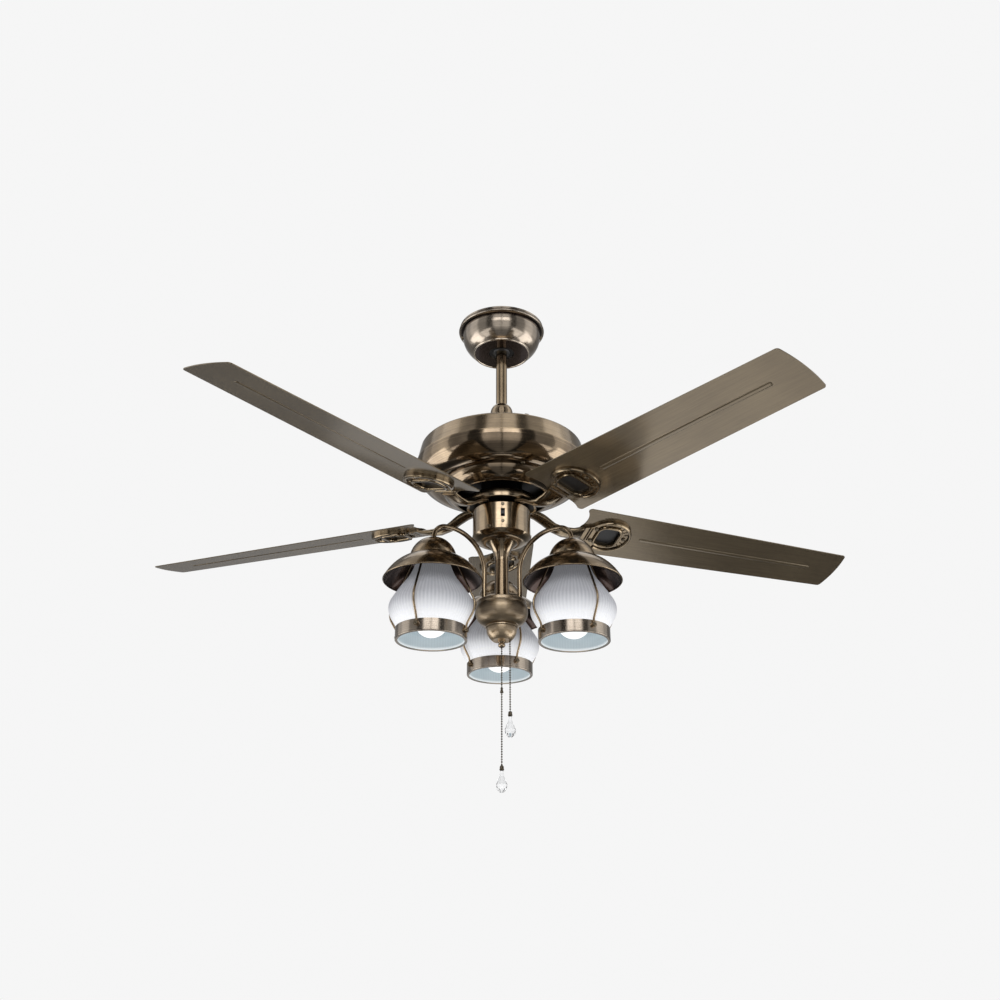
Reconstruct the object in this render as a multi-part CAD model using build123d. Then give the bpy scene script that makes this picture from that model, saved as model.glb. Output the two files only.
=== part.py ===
from build123d import *
import os
from math import atan2, cos, degrees, hypot, radians, sin, sqrt, tan

# Ceiling fan with three lanterns. The origin is on the ceiling, over the downrod. Sizes are in
# millimetres, +Z is up, and the front, where the reverse switch is, looks along -Y.

# Fits and fasteners that many pieces share
fit_gap = 0.05
slide_gap = 0.3
cut_margin = 1.0
largest_corner_share = 0.45
screw_radius = 2.0
screw_clearance = 0.2
screw_head_radius = 3.6
screw_head_height = 2.4
screw_head_round = 1.1
screw_slot_width = 0.9
screw_slot_depth = 0.6
screw_end = 1.0
flat_head_height = 0.9
small_screw_radius = 1.5
small_head_radius = 2.8
small_head_height = 1.6
small_head_round = 0.7

# Ceiling mount
canopy_radius = 79.0
canopy_height = 54.0
canopy_neck_radius = 71.5
canopy_base_radius = 52.5
canopy_bulge = 6.0
canopy_wall = 1.2
canopy_hole_radius = 23.0
trim_height = 3.5
trim_step = 2.0
trim_gap = 2.0
trim_gap_depth = 4.5
rim_bead_height = 4.0
neck_drop = 2.0
base_bead = 2.0
base_bead_width = 3.0
base_bead_round = 0.7
bracket_thickness = 2.5
bracket_width = 40.0
bracket_leg_width = 26.0
ceiling_slot_spacing = 84.0
ceiling_slot_length = 16.0
ceiling_slot_width = 6.4
slot_margin = 4.0
tab_width = 16.0
tab_margin = 5.5
canopy_screw_drop = 18.5
cradle_height = 8.0
cradle_wall = 5.0

# Hanger ball and downrod
ball_radius = 22.0
ball_seat = 15.5
ball_top_cut = 17.0
ball_bottom_cut = 17.0
rod_radius = 10.0
rod_wall = 2.5
rod_top_margin = 2.0
pin_radius = 2.5
ball_pin_rise = 6.0
ball_pin_inset = 1.5
pin_overhang = 1.5

# Motor housing
housing_drop = 200.0
housing_wall = 1.5
housing_screw_count = 4
housing_screw_phase = 18.7
crown_height = 56.0
crown_flat_radius = 26.0
crown_corner = 6.0
crown_corner_drop = 2.4
crown_corner_bulge = 1.6
crown_screw_inset = 12.0
crown_screw_length = 4.0
band_top_radius = 143.0
band_height = 33.0
seam_radius = 150.0
seam_lip = 2.0
seam_lip_width = 0.5
bowl_height = 39.5
bowl_flat_width = 9.7
dish_radius = 105.0
dish_height = 21.0
dish_rim = 1.0
dish_mouth_radius = 84.0
dish_mouth_lip = 3.0
dish_bulge = 4.0
dish_flange_gap = 0.5
cover_height = 36.0
cover_wall = 1.5
cover_top_radius = 13.0
cover_shoulder_radius = 20.0
cover_shoulder_drop = 16.0
cover_shoulder_bulge = 2.0
cover_base_radius = 25.0
cover_base_bulge = 1.5

# Motor
shaft_radius = 10.0
shaft_bore_radius = 6.0
yoke_radius = 14.0
yoke_height = 22.0
yoke_grip = 18.0
collar_radius = 20.0
collar_height = 5.0
bearing_width = 14.0
bearing_outer_radius = 23.5
race_thickness = 3.5
bearing_ball_count = 8
bearing_ball_gap = 0.15
rotor_radius = 88.0
rotor_wall = 4.0
rotor_round = 3.0
rotor_hub_wall = 6.0
rotor_floor_gap = 3.0
running_gap = 0.6
stator_height = 18.0
stator_gap = 3.0
stator_slot_count = 12
stator_slot_width = 10.0
stator_slot_depth = 22.0
stator_slot_mouth = 3.0
tooth_tip = 5.0
winding_height = 12.0
winding_round = 3.0

# Hub and blades
hub_gap = 2.5
hub_height = 16.0
hub_radius = 60.0
hub_wall = 4.0
hub_round = 1.0
hub_screw_grip = 5.0
flywheel_neck_wall = 6.0
blade_count = 5
blade_phase = 18.4
sweep_radius = 660.0
blade_root_radius = 141.0
blade_root_width = 124.0
blade_tip_width = 97.0
blade_tip_bulge = 5.0
blade_thickness = 1.6
blade_pitch = -14.1
blade_droop = 1.7
blade_drop = 14.9
blade_corner = 5.6
root_corner = 8.0
root_wave = 7.0
root_nub_width = 24.0
root_nub_height = 2.0
rib_gap = 24.0
rib_tip_gap = 60.0
rib_width = 7.0
rib_depth = 1.2
rib_wall = 1.0
iron_thickness = 4.5
iron_neck_offset = 10.0
iron_neck_width = 30.0
iron_flare_dip = 3.0
iron_flare_angle = 111.25
iron_flare_inset = 1.4
iron_loop_offset = 48.0
iron_loop_radius = 41.0
window_end_rim = 22.0
window_side_rim = 17.0
window_shift = 3.0
window_corner = 12.0
near_screw_gap = 7.0
near_screw_spacing = 33.0
strap_width = 22.0
strap_dip = 5.4
strap_dip_back = 33.0
strap_start_gap = 2.0
strap_swell = 2.0
tab_length = 22.0
iron_tab_thickness = 3.5
tab_screw_spacing = 13.0
tab_screw_margin = 1.0

# Steps of the strap: share of the way out to its dip, of the way down, and of the blade's pitch
strap_steps = [(0.0, 0.0, 0.0), (0.32, 0.3, 0.15), (0.66, 0.8, 0.4), (1.0, 1.0, 0.75)]

# Switch housing
switch_clearance = 0.6
switch_radius = 49.5
switch_wall = 1.2
switch_lip = 9.0
switch_round = 2.0
switch_round_bulge = 0.6
switch_screw_angles = [5.0, 125.0, 245.0]
plate_thickness = 2.0
reverse_offset = 2.0
reverse_travel = 3.5
reverse_body_width = 14.0
reverse_body_depth = 12.0
reverse_end_wall = 1.0
reverse_foot_gap = 2.0
reverse_screw_spacing = 31.0
reverse_screw_grip = 5.0
knob_width = 6.0
knob_height = 7.0
knob_proud = 1.2
knob_root = 3.0
knob_round = 0.6
knob_gap = 0.35
knob_side_gap = 0.5
capacitor_radius = 11.0
capacitor_height = 32.0
capacitor_offset = 26.0
capacitor_round = 1.5

# Light kit column
fitter_height = 11.5
fitter_rim = 0.8
fitter_rim_height = 1.5
fitter_neck_radius = 28.0
fitter_bulge = 3.0
fitter_step = 1.0
fitter_lip_height = 6.0
fitter_lip_wall = 2.0
fitter_lip_gap = 0.2
fitter_bore_radius = 8.0
trumpet_height = 32.0
trumpet_flare = 4.5
trumpet_foot = 0.4
post_radius = 11.6
post_wall = 2.0
post_height = 73.0
arm_bowl_radius = 41.0
arm_bowl_wall = 2.0
arm_bowl_rim = 6.0
arm_bowl_edge = 1.5
arm_bowl_edge_bulge = 0.4
arm_bowl_height = 42.5
arm_bowl_bulge = 9.3
arm_bowl_neck_radius = 25.7
neck_bead = 1.2
neck_bead_edge = 1.0
neck_bead_height = 2.0
neck_step = 0.5
knob_end_radius = 15.5
knob_end_height = 24.5
knob_end_bulge = 2.8
finial_radius = 6.7
finial_height = 11.5
finial_collar = 3.0
finial_waist_radius = 4.8
finial_waist_drop = 2.0
finial_bulge = 1.8
finial_wall = 1.0
finial_stub_radius = 4.2

# Arms and lanterns
lantern_count = 3
lantern_phase = 91.5
arm_radius = 4.0
arm_wall = 1.2
arm_root = 34.0
arm_rise = 47.0
arm_sweep = 66.0
arm_flat = 7.0
arm_tip_bend = 24.0
arm_tip_run = 9.0
arm_stub = 6.0
hood_top_drop = 3.5
hood_top_radius = 12.0
hood_cap_radius = 38.5
hood_cap_height = 32.5
hood_cap_bulge = 6.0
hood_step = 1.5
hood_radius = 81.5
hood_height = 73.5
hood_bulge = 5.0
hood_wall = 1.2
hood_bead = 1.2
holder_radius = 17.0
holder_height = 60.0
holder_cap_height = 8.0
holder_cap_inset = 1.0
holder_round = 1.0
bulb_cap_radius = 13.0
bulb_cap_gap = 0.3
bulb_collar = 6.0
bulb_radius = 28.0
bulb_join = 35.0
bulb_waist = 3.0
bulb_neck = 24.0
bulb_length = 131.0
shade_wall = 2.6
shade_neck_radius = 25.0
shade_neck_drop = 30.0
shade_shoulder_drop = 41.0
shade_flare_radius = 41.0
shade_flare_drop = 72.5
shade_flare_bulge = 3.3
shade_belly_radius = 69.5
shade_belly_drop = 121.5
shade_foot_radius = 55.8
shade_foot_drop = 153.0
shade_foot_bulge = 2.2
ring_wall = 1.5
ring_height = 20.0
ring_drop = 1.5
ring_clearance = 0.2
ring_lip = 3.0
ring_lip_thickness = 1.4
ring_edge = 1.0
ring_edge_bulge = 0.3
guard_count = 4
guard_turns = [28.0, 39.0, 56.0]
guard_radius = 1.8
guard_root_inset = 2.5
guard_root_gap = 0.5
guard_stand_off = 7.5
guard_belly_drop = 1.5
guard_belly_bend = 30.0
guard_tuck_bend = 18.0
guard_eye_radius = 4.2
guard_eye_thickness = 4.0
guard_eye_overlap = 1.5
guard_screw_rise = 12.0

# Pull chains
chain_radius = 1.6
chain_gap = 0.9
chain_tuck = 12.0
chain_end_gap = 3.0
switch_body_width = 12.6
switch_body_depth = 22.0
switch_body_height = 24.0
nozzle_radius = 3.4
nozzle_length = 12.0
nozzle_clearance = 0.4
light_chain_offset = 13.5
light_hole_depth = 15.0
fan_chain_drop = 192.0
light_chain_drop = 106.0
bell_drop = 68.0
bell_height = 8.0
bell_top_wall = 0.4
bell_radius = 2.9
bell_lip = 2.0
bell_bulge = 0.5
pull_cap_height = 8.0
pull_cap_radius = 3.2
pull_cap_top_radius = 1.9
pull_cap_shoulder = 4.4
pull_cap_bulge = 0.6
pull_height = 34.0
pull_neck_radius = 2.6
pull_neck_height = 4.0
pull_waist_dip = 1.0
pull_radius = 9.0
pull_belly_drop = 21.0
pull_belly_bulge = 3.0
pull_tip_radius = 4.0
pull_tip_height = 1.5

# Sizes that follow from the ones above
tab_height = canopy_screw_drop + tab_margin
cradle_radius = ball_radius + cradle_wall
bowl_lip_radius = dish_radius + slide_gap
bowl_flat_radius = bowl_lip_radius + bowl_flat_width
bowl_screw_reach = bowl_lip_radius + bowl_flat_width / 2
rotor_height = stator_height + 2 * (stator_gap + bearing_width + rotor_wall)
rotor_hub_radius = bearing_outer_radius + rotor_hub_wall
stator_radius = rotor_radius - rotor_wall - running_gap
race_middle = (shaft_radius + bearing_outer_radius) / 2
race_gap = bearing_outer_radius - shaft_radius - 2 * race_thickness
iron_neck_radius = blade_root_radius + iron_neck_offset
iron_loop_centre = iron_neck_radius + iron_loop_offset
window_length = 2 * (iron_loop_radius - window_end_rim)
window_width = 2 * (iron_loop_radius - window_side_rim)
strap_start = hub_radius + strap_start_gap
reverse_slot_width = knob_width + 2 * knob_side_gap
reverse_slot_height = knob_height + 2 * (reverse_travel + knob_side_gap)
reverse_body_height = reverse_screw_spacing + 2 * (small_screw_radius + reverse_end_wall)
lantern_radius = arm_root + arm_sweep + arm_flat + arm_tip_bend
ring_inner_radius = shade_foot_radius + ring_clearance
ring_radius = ring_inner_radius + ring_wall
guard_foot = ring_radius + fit_gap + guard_eye_thickness / 2

# Levels, down from the ceiling
z_canopy_floor = -canopy_height + base_bead / 2 + canopy_wall
z_cradle = z_canopy_floor + slide_gap
z_ball = z_cradle + ball_seat
z_ball_pin = z_ball + ball_pin_rise
z_rod_top = z_ball + ball_top_cut - rod_top_margin
z_crown = -housing_drop
z_yoke_top = z_crown + yoke_height
z_rod_end = z_yoke_top - yoke_grip
z_coupling_pin = z_yoke_top - yoke_grip / 2
z_band = z_crown - crown_height
z_seam = z_band - band_height
z_bowl = z_seam - bowl_height
z_flange = z_bowl + housing_wall
z_dish = z_bowl - dish_height
z_rotor = z_flange + housing_wall + rotor_floor_gap
z_rotor_top = z_rotor + rotor_height
z_stator = (z_rotor_top + z_rotor) / 2
z_upper_bearing = z_rotor_top - rotor_wall
z_lower_bearing = z_rotor + rotor_wall + bearing_width
z_hub_top = z_dish - hub_gap
z_hub = z_hub_top - hub_height
z_blade = z_hub - blade_drop
z_switch_top = z_hub - iron_tab_thickness - flat_head_height - switch_clearance
z_plate = z_switch_top - switch_wall - plate_thickness
z_reverse = z_plate - slide_gap - reverse_body_height / 2
z_fitter_lip = z_reverse - reverse_body_height / 2 - reverse_foot_gap
z_switch = z_fitter_lip - fitter_lip_height
z_switch_screw = z_switch + fitter_lip_height / 2
z_fitter = z_switch - fitter_height
z_trumpet = z_fitter - trumpet_height
z_arm_bowl = z_trumpet - post_height
z_neck = z_arm_bowl - arm_bowl_height
z_knob_end = z_neck - knob_end_height
z_finial = z_knob_end - finial_height
z_pull_switch = z_arm_bowl - arm_bowl_wall - switch_body_height
z_chain_top = z_pull_switch + chain_tuck - chain_end_gap
z_arm_top = z_arm_bowl + arm_rise + arm_sweep
z_arm_drop = z_arm_top - arm_tip_bend
z_arm_end = z_arm_drop - arm_tip_run
z_hood = z_arm_drop - hood_top_drop
z_holder = z_hood - hood_wall - holder_height
z_shade_foot = z_hood - shade_foot_drop
z_ring_top = z_shade_foot - ring_drop
z_ring = z_ring_top - ring_height
z_guard_screw = z_ring + guard_screw_rise


# Helpers

def point(place):
    return Vector(place[0], 0, place[1])


def bulged(start, end, bulge):
    # An arc step from start to end, standing out to the left of the way there by bulge
    run = end[0] - start[0]
    rise = end[1] - start[1]
    length = hypot(run, rise)
    across = (start[0] + end[0]) / 2 - rise / length * bulge
    up = (start[1] + end[1]) / 2 + run / length * bulge
    return ((across, up), end)


def outline(start, *steps):
    # Edges in the XZ plane: a step is a point, or a middle point and an end point for an arc
    edges = []
    here = start
    for step in steps:
        if isinstance(step[0], tuple):
            edges.append(Edge.make_three_point_arc(point(here), point(step[0]), point(step[1])))
            here = step[1]
        else:
            edges.append(Edge.make_line(point(here), point(step)))
            here = step
    if here != start:
        edges.append(Edge.make_line(point(here), point(start)))
    return edges


def lathe(start, *steps):
    return revolve(Face(Wire(outline(start, *steps))), Axis.Z)


def disc(radius, top, bottom):
    return Pos(0, 0, (top + bottom) / 2) * Cylinder(radius, top - bottom)


def tube(outer, inner, top, bottom):
    return disc(outer, top, bottom) - disc(inner, top, bottom)


def rod_along_x(radius, length, place):
    return Pos(*place) * Rot(0, 90, 0) * Cylinder(radius, length)


def rod_along_y(radius, length, place):
    return Pos(*place) * Rot(90, 0, 0) * Cylinder(radius, length)


def screw(shank_length):
    # Slotted round head above the seat at z 0, shank below it
    head = disc(screw_head_radius, screw_head_height, 0)
    head = fillet(head.edges().group_by(Axis.Z)[-1], screw_head_round)
    slot = Box(3 * screw_head_radius, screw_slot_width, 2 * screw_slot_depth)
    return head - Pos(0, 0, screw_head_height) * slot + disc(screw_radius, 0, -shank_length)


def flat_screw(shank_length):
    # A low head that clears what turns past it
    return disc(screw_head_radius, flat_head_height, 0) + disc(screw_radius, 0, -shank_length)


def small_screw(shank_length):
    head = disc(small_head_radius, small_head_height, 0)
    head = fillet(head.edges().group_by(Axis.Z)[-1], small_head_round)
    return head + disc(small_screw_radius, 0, -shank_length)


def turned(shape, angle):
    return Rot(0, 0, angle) * shape


def even_angles(count, phase):
    return [phase + 360 / count * number for number in range(count)]


def save(name, shapes):
    solids = []
    for shape in shapes:
        solids.extend(shape.solids())
    whole = solids[0] if len(solids) == 1 else Compound(children=solids)
    export_step(whole, os.path.join("parts", name + ".step"))


# Ceiling mount

def canopy_neck():
    return (canopy_neck_radius, -(trim_height + trim_gap + rim_bead_height + neck_drop))


def canopy_base():
    return (canopy_base_radius, -canopy_height + base_bead)


def make_canopy():
    bead_top = -(trim_height + trim_gap)
    bead_low = bead_top - rim_bead_height
    neck = canopy_neck()
    base = canopy_base()
    trim = canopy_radius - trim_step
    gap = canopy_radius - trim_gap_depth
    foot = (base[0] - base_bead_width, -canopy_height)
    under = -canopy_height + base_bead / 2
    outer = lathe(
        (0, 0),
        (trim, 0),
        (trim, -trim_height),
        (gap, -trim_height),
        (gap, bead_top),
        (trim, bead_top),
        bulged((trim, bead_top), (trim, bead_low), trim_step),
        neck,
        bulged(neck, base, canopy_bulge),
        bulged(base, foot, base_bead_round),
        (foot[0] - base_bead / 2, under),
        (0, under),
    )
    inner_neck = (neck[0] - canopy_wall, neck[1])
    inner_base = (base[0] - canopy_wall, z_canopy_floor)
    inner = lathe(
        (0, cut_margin),
        (gap - canopy_wall, cut_margin),
        (gap - canopy_wall, bead_low),
        inner_neck,
        bulged(inner_neck, inner_base, canopy_bulge),
        (0, z_canopy_floor),
    )
    shell = outer - inner - disc(canopy_hole_radius, 0, -canopy_height)
    hole_radius = screw_radius + screw_clearance
    return shell - rod_along_x(hole_radius, 3 * canopy_radius, (0, 0, -canopy_screw_drop))


def canopy_wall_reach(drop):
    # Distance from the axis to the outside of the canopy wall at a drop below the ceiling
    start = Vector(*canopy_neck())
    end = Vector(*canopy_base())
    chord = end - start
    radius = (chord.length ** 2 / 4 + canopy_bulge ** 2) / (2 * canopy_bulge)
    inward = Vector(chord.Y, -chord.X).normalized()
    centre = (start + end) * 0.5 + inward * (radius - canopy_bulge)
    return centre.X + sqrt(radius ** 2 - (drop + centre.Y) ** 2)


def tab_reach():
    # Outer face of the bracket's end tabs, just inside the canopy wall over the tab's width
    inside = canopy_wall_reach(tab_height) - canopy_wall - slide_gap
    return sqrt(inside ** 2 - (tab_width / 2) ** 2)


def make_bracket():
    reach = tab_reach()
    plate = Pos(0, 0, -bracket_thickness / 2) * Box(2 * reach, bracket_width, bracket_thickness)
    tab = Box(bracket_thickness, tab_width, tab_height)
    leg_height = -z_cradle
    leg = Box(bracket_thickness, bracket_leg_width, leg_height)
    corner_cut = Box(reach, bracket_width, 3 * bracket_thickness)
    narrow = (ceiling_slot_spacing + ceiling_slot_length) / 2 + slot_margin
    slot = extrude(SlotOverall(ceiling_slot_length, ceiling_slot_width), amount=-3 * bracket_thickness)
    for side in (-1, 1):
        for edge in (-1, 1):
            cut_y = edge * (tab_width + bracket_width) / 2
            plate -= Pos(side * (narrow + reach / 2), cut_y, 0) * corner_cut
        plate -= Pos(side * ceiling_slot_spacing / 2, 0, bracket_thickness) * slot
        plate += Pos(side * (reach - bracket_thickness / 2), 0, -tab_height / 2) * tab
        plate -= rod_along_x(screw_radius, 6 * bracket_thickness, (side * reach, 0, -canopy_screw_drop))
        plate += Pos(side * (cradle_radius - bracket_thickness / 2), 0, -leg_height / 2) * leg
    plate += disc(cradle_radius, z_cradle + cradle_height, z_cradle)
    return plate - Pos(0, 0, z_ball) * Sphere(ball_radius + slide_gap)


def make_canopy_screws():
    seat = canopy_wall_reach(canopy_screw_drop - screw_head_radius) + fit_gap
    shank = seat - tab_reach() + bracket_thickness
    right = Pos(seat, 0, -canopy_screw_drop) * Rot(0, 90, 0) * screw(shank)
    return [right, turned(right, 180)]


# Hanger ball and downrod

def make_ball():
    height = ball_top_cut + ball_bottom_cut
    slab = Pos(0, 0, (ball_top_cut - ball_bottom_cut) / 2) * Box(3 * ball_radius, 3 * ball_radius, height)
    ball = Sphere(ball_radius) & slab
    ball -= Cylinder(rod_radius + fit_gap, 3 * ball_radius)
    ball -= rod_along_x(pin_radius + fit_gap, 3 * ball_radius, (0, 0, ball_pin_rise))
    return Pos(0, 0, z_ball) * ball


def make_rod():
    rod = tube(rod_radius, rod_radius - rod_wall, z_rod_top, z_rod_end)
    for level in (z_ball_pin, z_coupling_pin):
        rod -= rod_along_x(pin_radius + fit_gap, 4 * rod_radius, (0, 0, level))
    return rod


def make_pins():
    half_ball = sqrt(ball_radius ** 2 - (ball_pin_rise + pin_radius) ** 2) - ball_pin_inset
    ball_pin = rod_along_x(pin_radius, 2 * half_ball, (0, 0, z_ball_pin))
    coupling_pin = rod_along_x(pin_radius, 2 * (yoke_radius + pin_overhang), (0, 0, z_coupling_pin))
    return [ball_pin, coupling_pin]


# Motor housing

def make_cover():
    bore = rod_radius + slide_gap
    top = z_crown + cover_height
    brow = (cover_top_radius, top)
    shoulder = (cover_shoulder_radius, top - cover_shoulder_drop)
    base = (cover_base_radius, z_crown)
    inner_brow = (cover_top_radius - cover_wall / 2, top - cover_wall)
    inner_shoulder = (shoulder[0] - cover_wall, shoulder[1])
    inner_base = (base[0] - cover_wall, z_crown)
    return lathe(
        (bore, top),
        brow,
        bulged(brow, shoulder, cover_shoulder_bulge),
        bulged(shoulder, base, -cover_base_bulge),
        inner_base,
        bulged(inner_base, inner_shoulder, cover_base_bulge),
        bulged(inner_shoulder, inner_brow, -cover_shoulder_bulge),
        (bore, top - cover_wall),
    )


def housing_screw_angles():
    return even_angles(housing_screw_count, housing_screw_phase)


def crown_slope():
    return atan2(crown_height, band_top_radius - crown_flat_radius)


def crown_screw_place(angle):
    # A seat on the sloping crown near its edge, with the screw square to the slope
    reach = band_top_radius - crown_screw_inset
    level = z_crown - (reach - crown_flat_radius) * tan(crown_slope())
    return Rot(0, 0, angle) * Pos(reach, 0, level) * Rot(0, degrees(crown_slope()), 0)


def make_upper_housing():
    wall = housing_wall
    hole = yoke_radius + slide_gap
    before = (band_top_radius - crown_corner, z_band + crown_corner * tan(crown_slope()))
    corner = (band_top_radius, z_band - crown_corner_drop)
    inner_before = (before[0] - wall / 2, before[1] - wall)
    inner_corner = (corner[0] - wall, corner[1] - wall / 2)
    lip = z_seam + seam_lip
    shell = lathe(
        (hole, z_crown),
        (crown_flat_radius, z_crown),
        before,
        bulged(before, corner, crown_corner_bulge),
        (seam_radius - seam_lip_width, lip),
        (seam_radius, lip),
        (seam_radius, z_seam),
        (seam_radius - wall, z_seam),
        (seam_radius - wall - seam_lip_width, lip),
        inner_corner,
        bulged(inner_corner, inner_before, -crown_corner_bulge),
        (crown_flat_radius, z_crown - wall),
        (hole, z_crown - wall),
    )
    for angle in housing_screw_angles():
        shell -= crown_screw_place(angle) * Cylinder(screw_radius + screw_clearance, 6 * wall)
    return shell


def ellipse_edge(across, down):
    # A quarter ellipse from the widest point of the bowl down to its flat
    plane = Plane(origin=(bowl_flat_radius, 0, z_seam), x_dir=(1, 0, 0), z_dir=(0, -1, 0))
    return Edge.make_ellipse(across, down, plane, start_angle=270, end_angle=360)


def bowl_screw_hole(angle):
    hole = Cylinder(screw_radius + screw_clearance, 6 * housing_wall)
    return turned(Pos(bowl_screw_reach, 0, z_flange) * hole, angle)


def make_lower_housing():
    wall = housing_wall
    span = seam_radius - bowl_flat_radius
    flat = outline((bowl_flat_radius, z_bowl), (bowl_lip_radius, z_bowl), (bowl_lip_radius, z_flange),
                   (bowl_flat_radius, z_flange))[:3]
    rim = Edge.make_line(point((seam_radius - wall, z_seam)), point((seam_radius, z_seam)))
    edges = flat + [ellipse_edge(span, bowl_height), ellipse_edge(span - wall, bowl_height - wall), rim]
    bowl = revolve(Face(Wire(edges)), Axis.Z)
    for angle in housing_screw_angles():
        bowl -= bowl_screw_hole(angle)
    return bowl


def make_dish():
    wall = housing_wall
    flange = bowl_flat_radius - dish_flange_gap
    rim = (dish_radius, z_bowl - dish_rim)
    mouth = (dish_mouth_radius, z_dish)
    inner_rim = (rim[0] - wall, rim[1])
    inner_mouth = (mouth[0] - wall, z_dish + wall)
    dish = lathe(
        (dish_radius - wall, z_flange + wall),
        (flange, z_flange + wall),
        (flange, z_flange),
        (dish_radius, z_flange),
        rim,
        bulged(rim, mouth, dish_bulge),
        (dish_mouth_radius - dish_mouth_lip, z_dish),
        (dish_mouth_radius - dish_mouth_lip, z_dish + wall),
        inner_mouth,
        bulged(inner_mouth, inner_rim, -dish_bulge),
    )
    for angle in housing_screw_angles():
        dish -= bowl_screw_hole(angle)
    return dish


def make_housing_screws():
    screws = []
    bowl_screw = Pos(bowl_screw_reach, 0, z_bowl) * Rot(180, 0, 0) * screw(2 * housing_wall + screw_end)
    for angle in housing_screw_angles():
        screws.append(crown_screw_place(angle) * Pos(0, 0, fit_gap) * screw(crown_screw_length))
        screws.append(turned(bowl_screw, angle))
    side_screw = Rot(0, 90, 0) * small_screw(switch_wall + fitter_lip_gap + fitter_lip_wall)
    for angle in switch_screw_angles:
        screws.append(turned(Pos(switch_radius, 0, z_switch_screw) * side_screw, angle))
    grip = switch_radius + reverse_front() + reverse_screw_grip
    for level in reverse_screw_levels():
        screws.append(Pos(reverse_offset, -switch_radius, level) * Rot(90, 0, 0) * small_screw(grip))
    return screws


# Motor

def make_shaft():
    collar_top = z_crown - housing_wall
    shaft = disc(yoke_radius, z_yoke_top, collar_top)
    shaft += disc(collar_radius, collar_top, collar_top - collar_height)
    shaft += disc(shaft_radius, collar_top - collar_height, z_plate)
    shaft -= disc(rod_radius + fit_gap, z_yoke_top, z_rod_end)
    shaft -= disc(shaft_bore_radius, z_rod_end, z_switch)
    return shaft - rod_along_x(pin_radius + fit_gap, 4 * yoke_radius, (0, 0, z_coupling_pin))


def make_stator():
    core = tube(stator_radius, shaft_radius, z_stator + stator_height / 2, z_stator - stator_height / 2)
    slot_reach = stator_radius - tooth_tip - stator_slot_depth / 2
    slot = Pos(slot_reach, 0, z_stator) * Box(stator_slot_depth, stator_slot_width, 2 * stator_height)
    mouth = Pos(stator_radius, 0, z_stator) * Box(3 * tooth_tip, stator_slot_mouth, 2 * stator_height)
    for angle in even_angles(stator_slot_count, 0):
        core -= turned(slot + mouth, angle)
    return core


def make_windings():
    # The coil ends above and below the core, as two rounded rings
    outer = stator_radius - tooth_tip
    face = z_stator + stator_height / 2
    ring = tube(outer, outer - stator_slot_depth, face + winding_height, face)
    upper = fillet(ring.edges().group_by(Axis.Z)[-1], winding_round)
    return [upper, mirror(upper, Plane(origin=(0, 0, z_stator), z_dir=(0, 0, 1)))]


def make_bearing_inners():
    pieces = []
    ball = Sphere(race_gap / 2 - bearing_ball_gap)
    for top in (z_upper_bearing, z_lower_bearing):
        pieces.append(tube(shaft_radius + race_thickness, shaft_radius, top, top - bearing_width))
        for angle in even_angles(bearing_ball_count, 0):
            pieces.append(turned(Pos(race_middle, 0, top - bearing_width / 2) * ball, angle))
    return pieces


def make_bearing_outers():
    inner = bearing_outer_radius - race_thickness
    levels = (z_upper_bearing, z_lower_bearing)
    return [tube(bearing_outer_radius, inner, top, top - bearing_width) for top in levels]


def make_rotor_shell():
    shell = disc(rotor_radius, z_rotor_top, z_rotor)
    shell -= disc(rotor_radius - rotor_wall, z_rotor_top - rotor_wall, z_rotor + rotor_wall)
    shell += disc(rotor_hub_radius, z_rotor_top, z_upper_bearing - bearing_width)
    shell += disc(rotor_hub_radius, z_lower_bearing, z_rotor)
    for top in (z_upper_bearing, z_lower_bearing):
        shell -= disc(bearing_outer_radius, top, top - bearing_width)
    shell -= disc(shaft_radius + running_gap, z_rotor_top, z_rotor)
    return fillet(shell.edges().filter_by(GeomType.CIRCLE).group_by(SortBy.RADIUS)[-1], rotor_round)


# Hub and blades

def blade_angles():
    return even_angles(blade_count, blade_phase)


def iron_screw_places():
    reach = hub_radius - hub_wall - screw_head_radius - tab_screw_margin
    return [(reach, tab_screw_spacing / 2), (reach, -tab_screw_spacing / 2)]


def make_flywheel():
    body = disc(rotor_hub_radius + flywheel_neck_wall, z_rotor, z_hub_top)
    body += disc(hub_radius - hub_wall, z_hub_top, z_hub)
    body -= disc(shaft_radius + running_gap, z_rotor, z_hub)
    depth = hub_screw_grip + cut_margin
    for angle in blade_angles():
        for across, along in iron_screw_places():
            body -= turned(Pos(across, along, 0) * disc(screw_radius, z_hub + depth, z_hub), angle)
    return body


def make_hub_ring():
    ring = tube(hub_radius, hub_radius - hub_wall, z_hub_top, z_hub)
    return fillet(ring.edges().filter_by(GeomType.CIRCLE).group_by(SortBy.RADIUS)[-1], hub_round)


def blade_place():
    # The blade's own frame: x out along the blade, y across it, z square to it
    return Pos(0, 0, z_blade) * Rot(0, blade_droop, 0) * Rot(blade_pitch, 0, 0)


def blade_screw_places():
    window_end = window_length / 2 - window_shift
    far = iron_loop_centre + (window_end + iron_loop_radius) / 2
    near = iron_loop_centre - window_shift - window_length / 2 - near_screw_gap
    return [(far, 0), (near, near_screw_spacing / 2), (near, -near_screw_spacing / 2)]


def rib_slot(width, low, high):
    start = iron_loop_centre + iron_loop_radius + rib_gap
    end = sweep_radius - rib_tip_gap
    sketch = Pos((start + end) / 2, 0, low) * SlotOverall(end - start + width, width)
    return extrude(sketch, amount=high - low)


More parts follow.
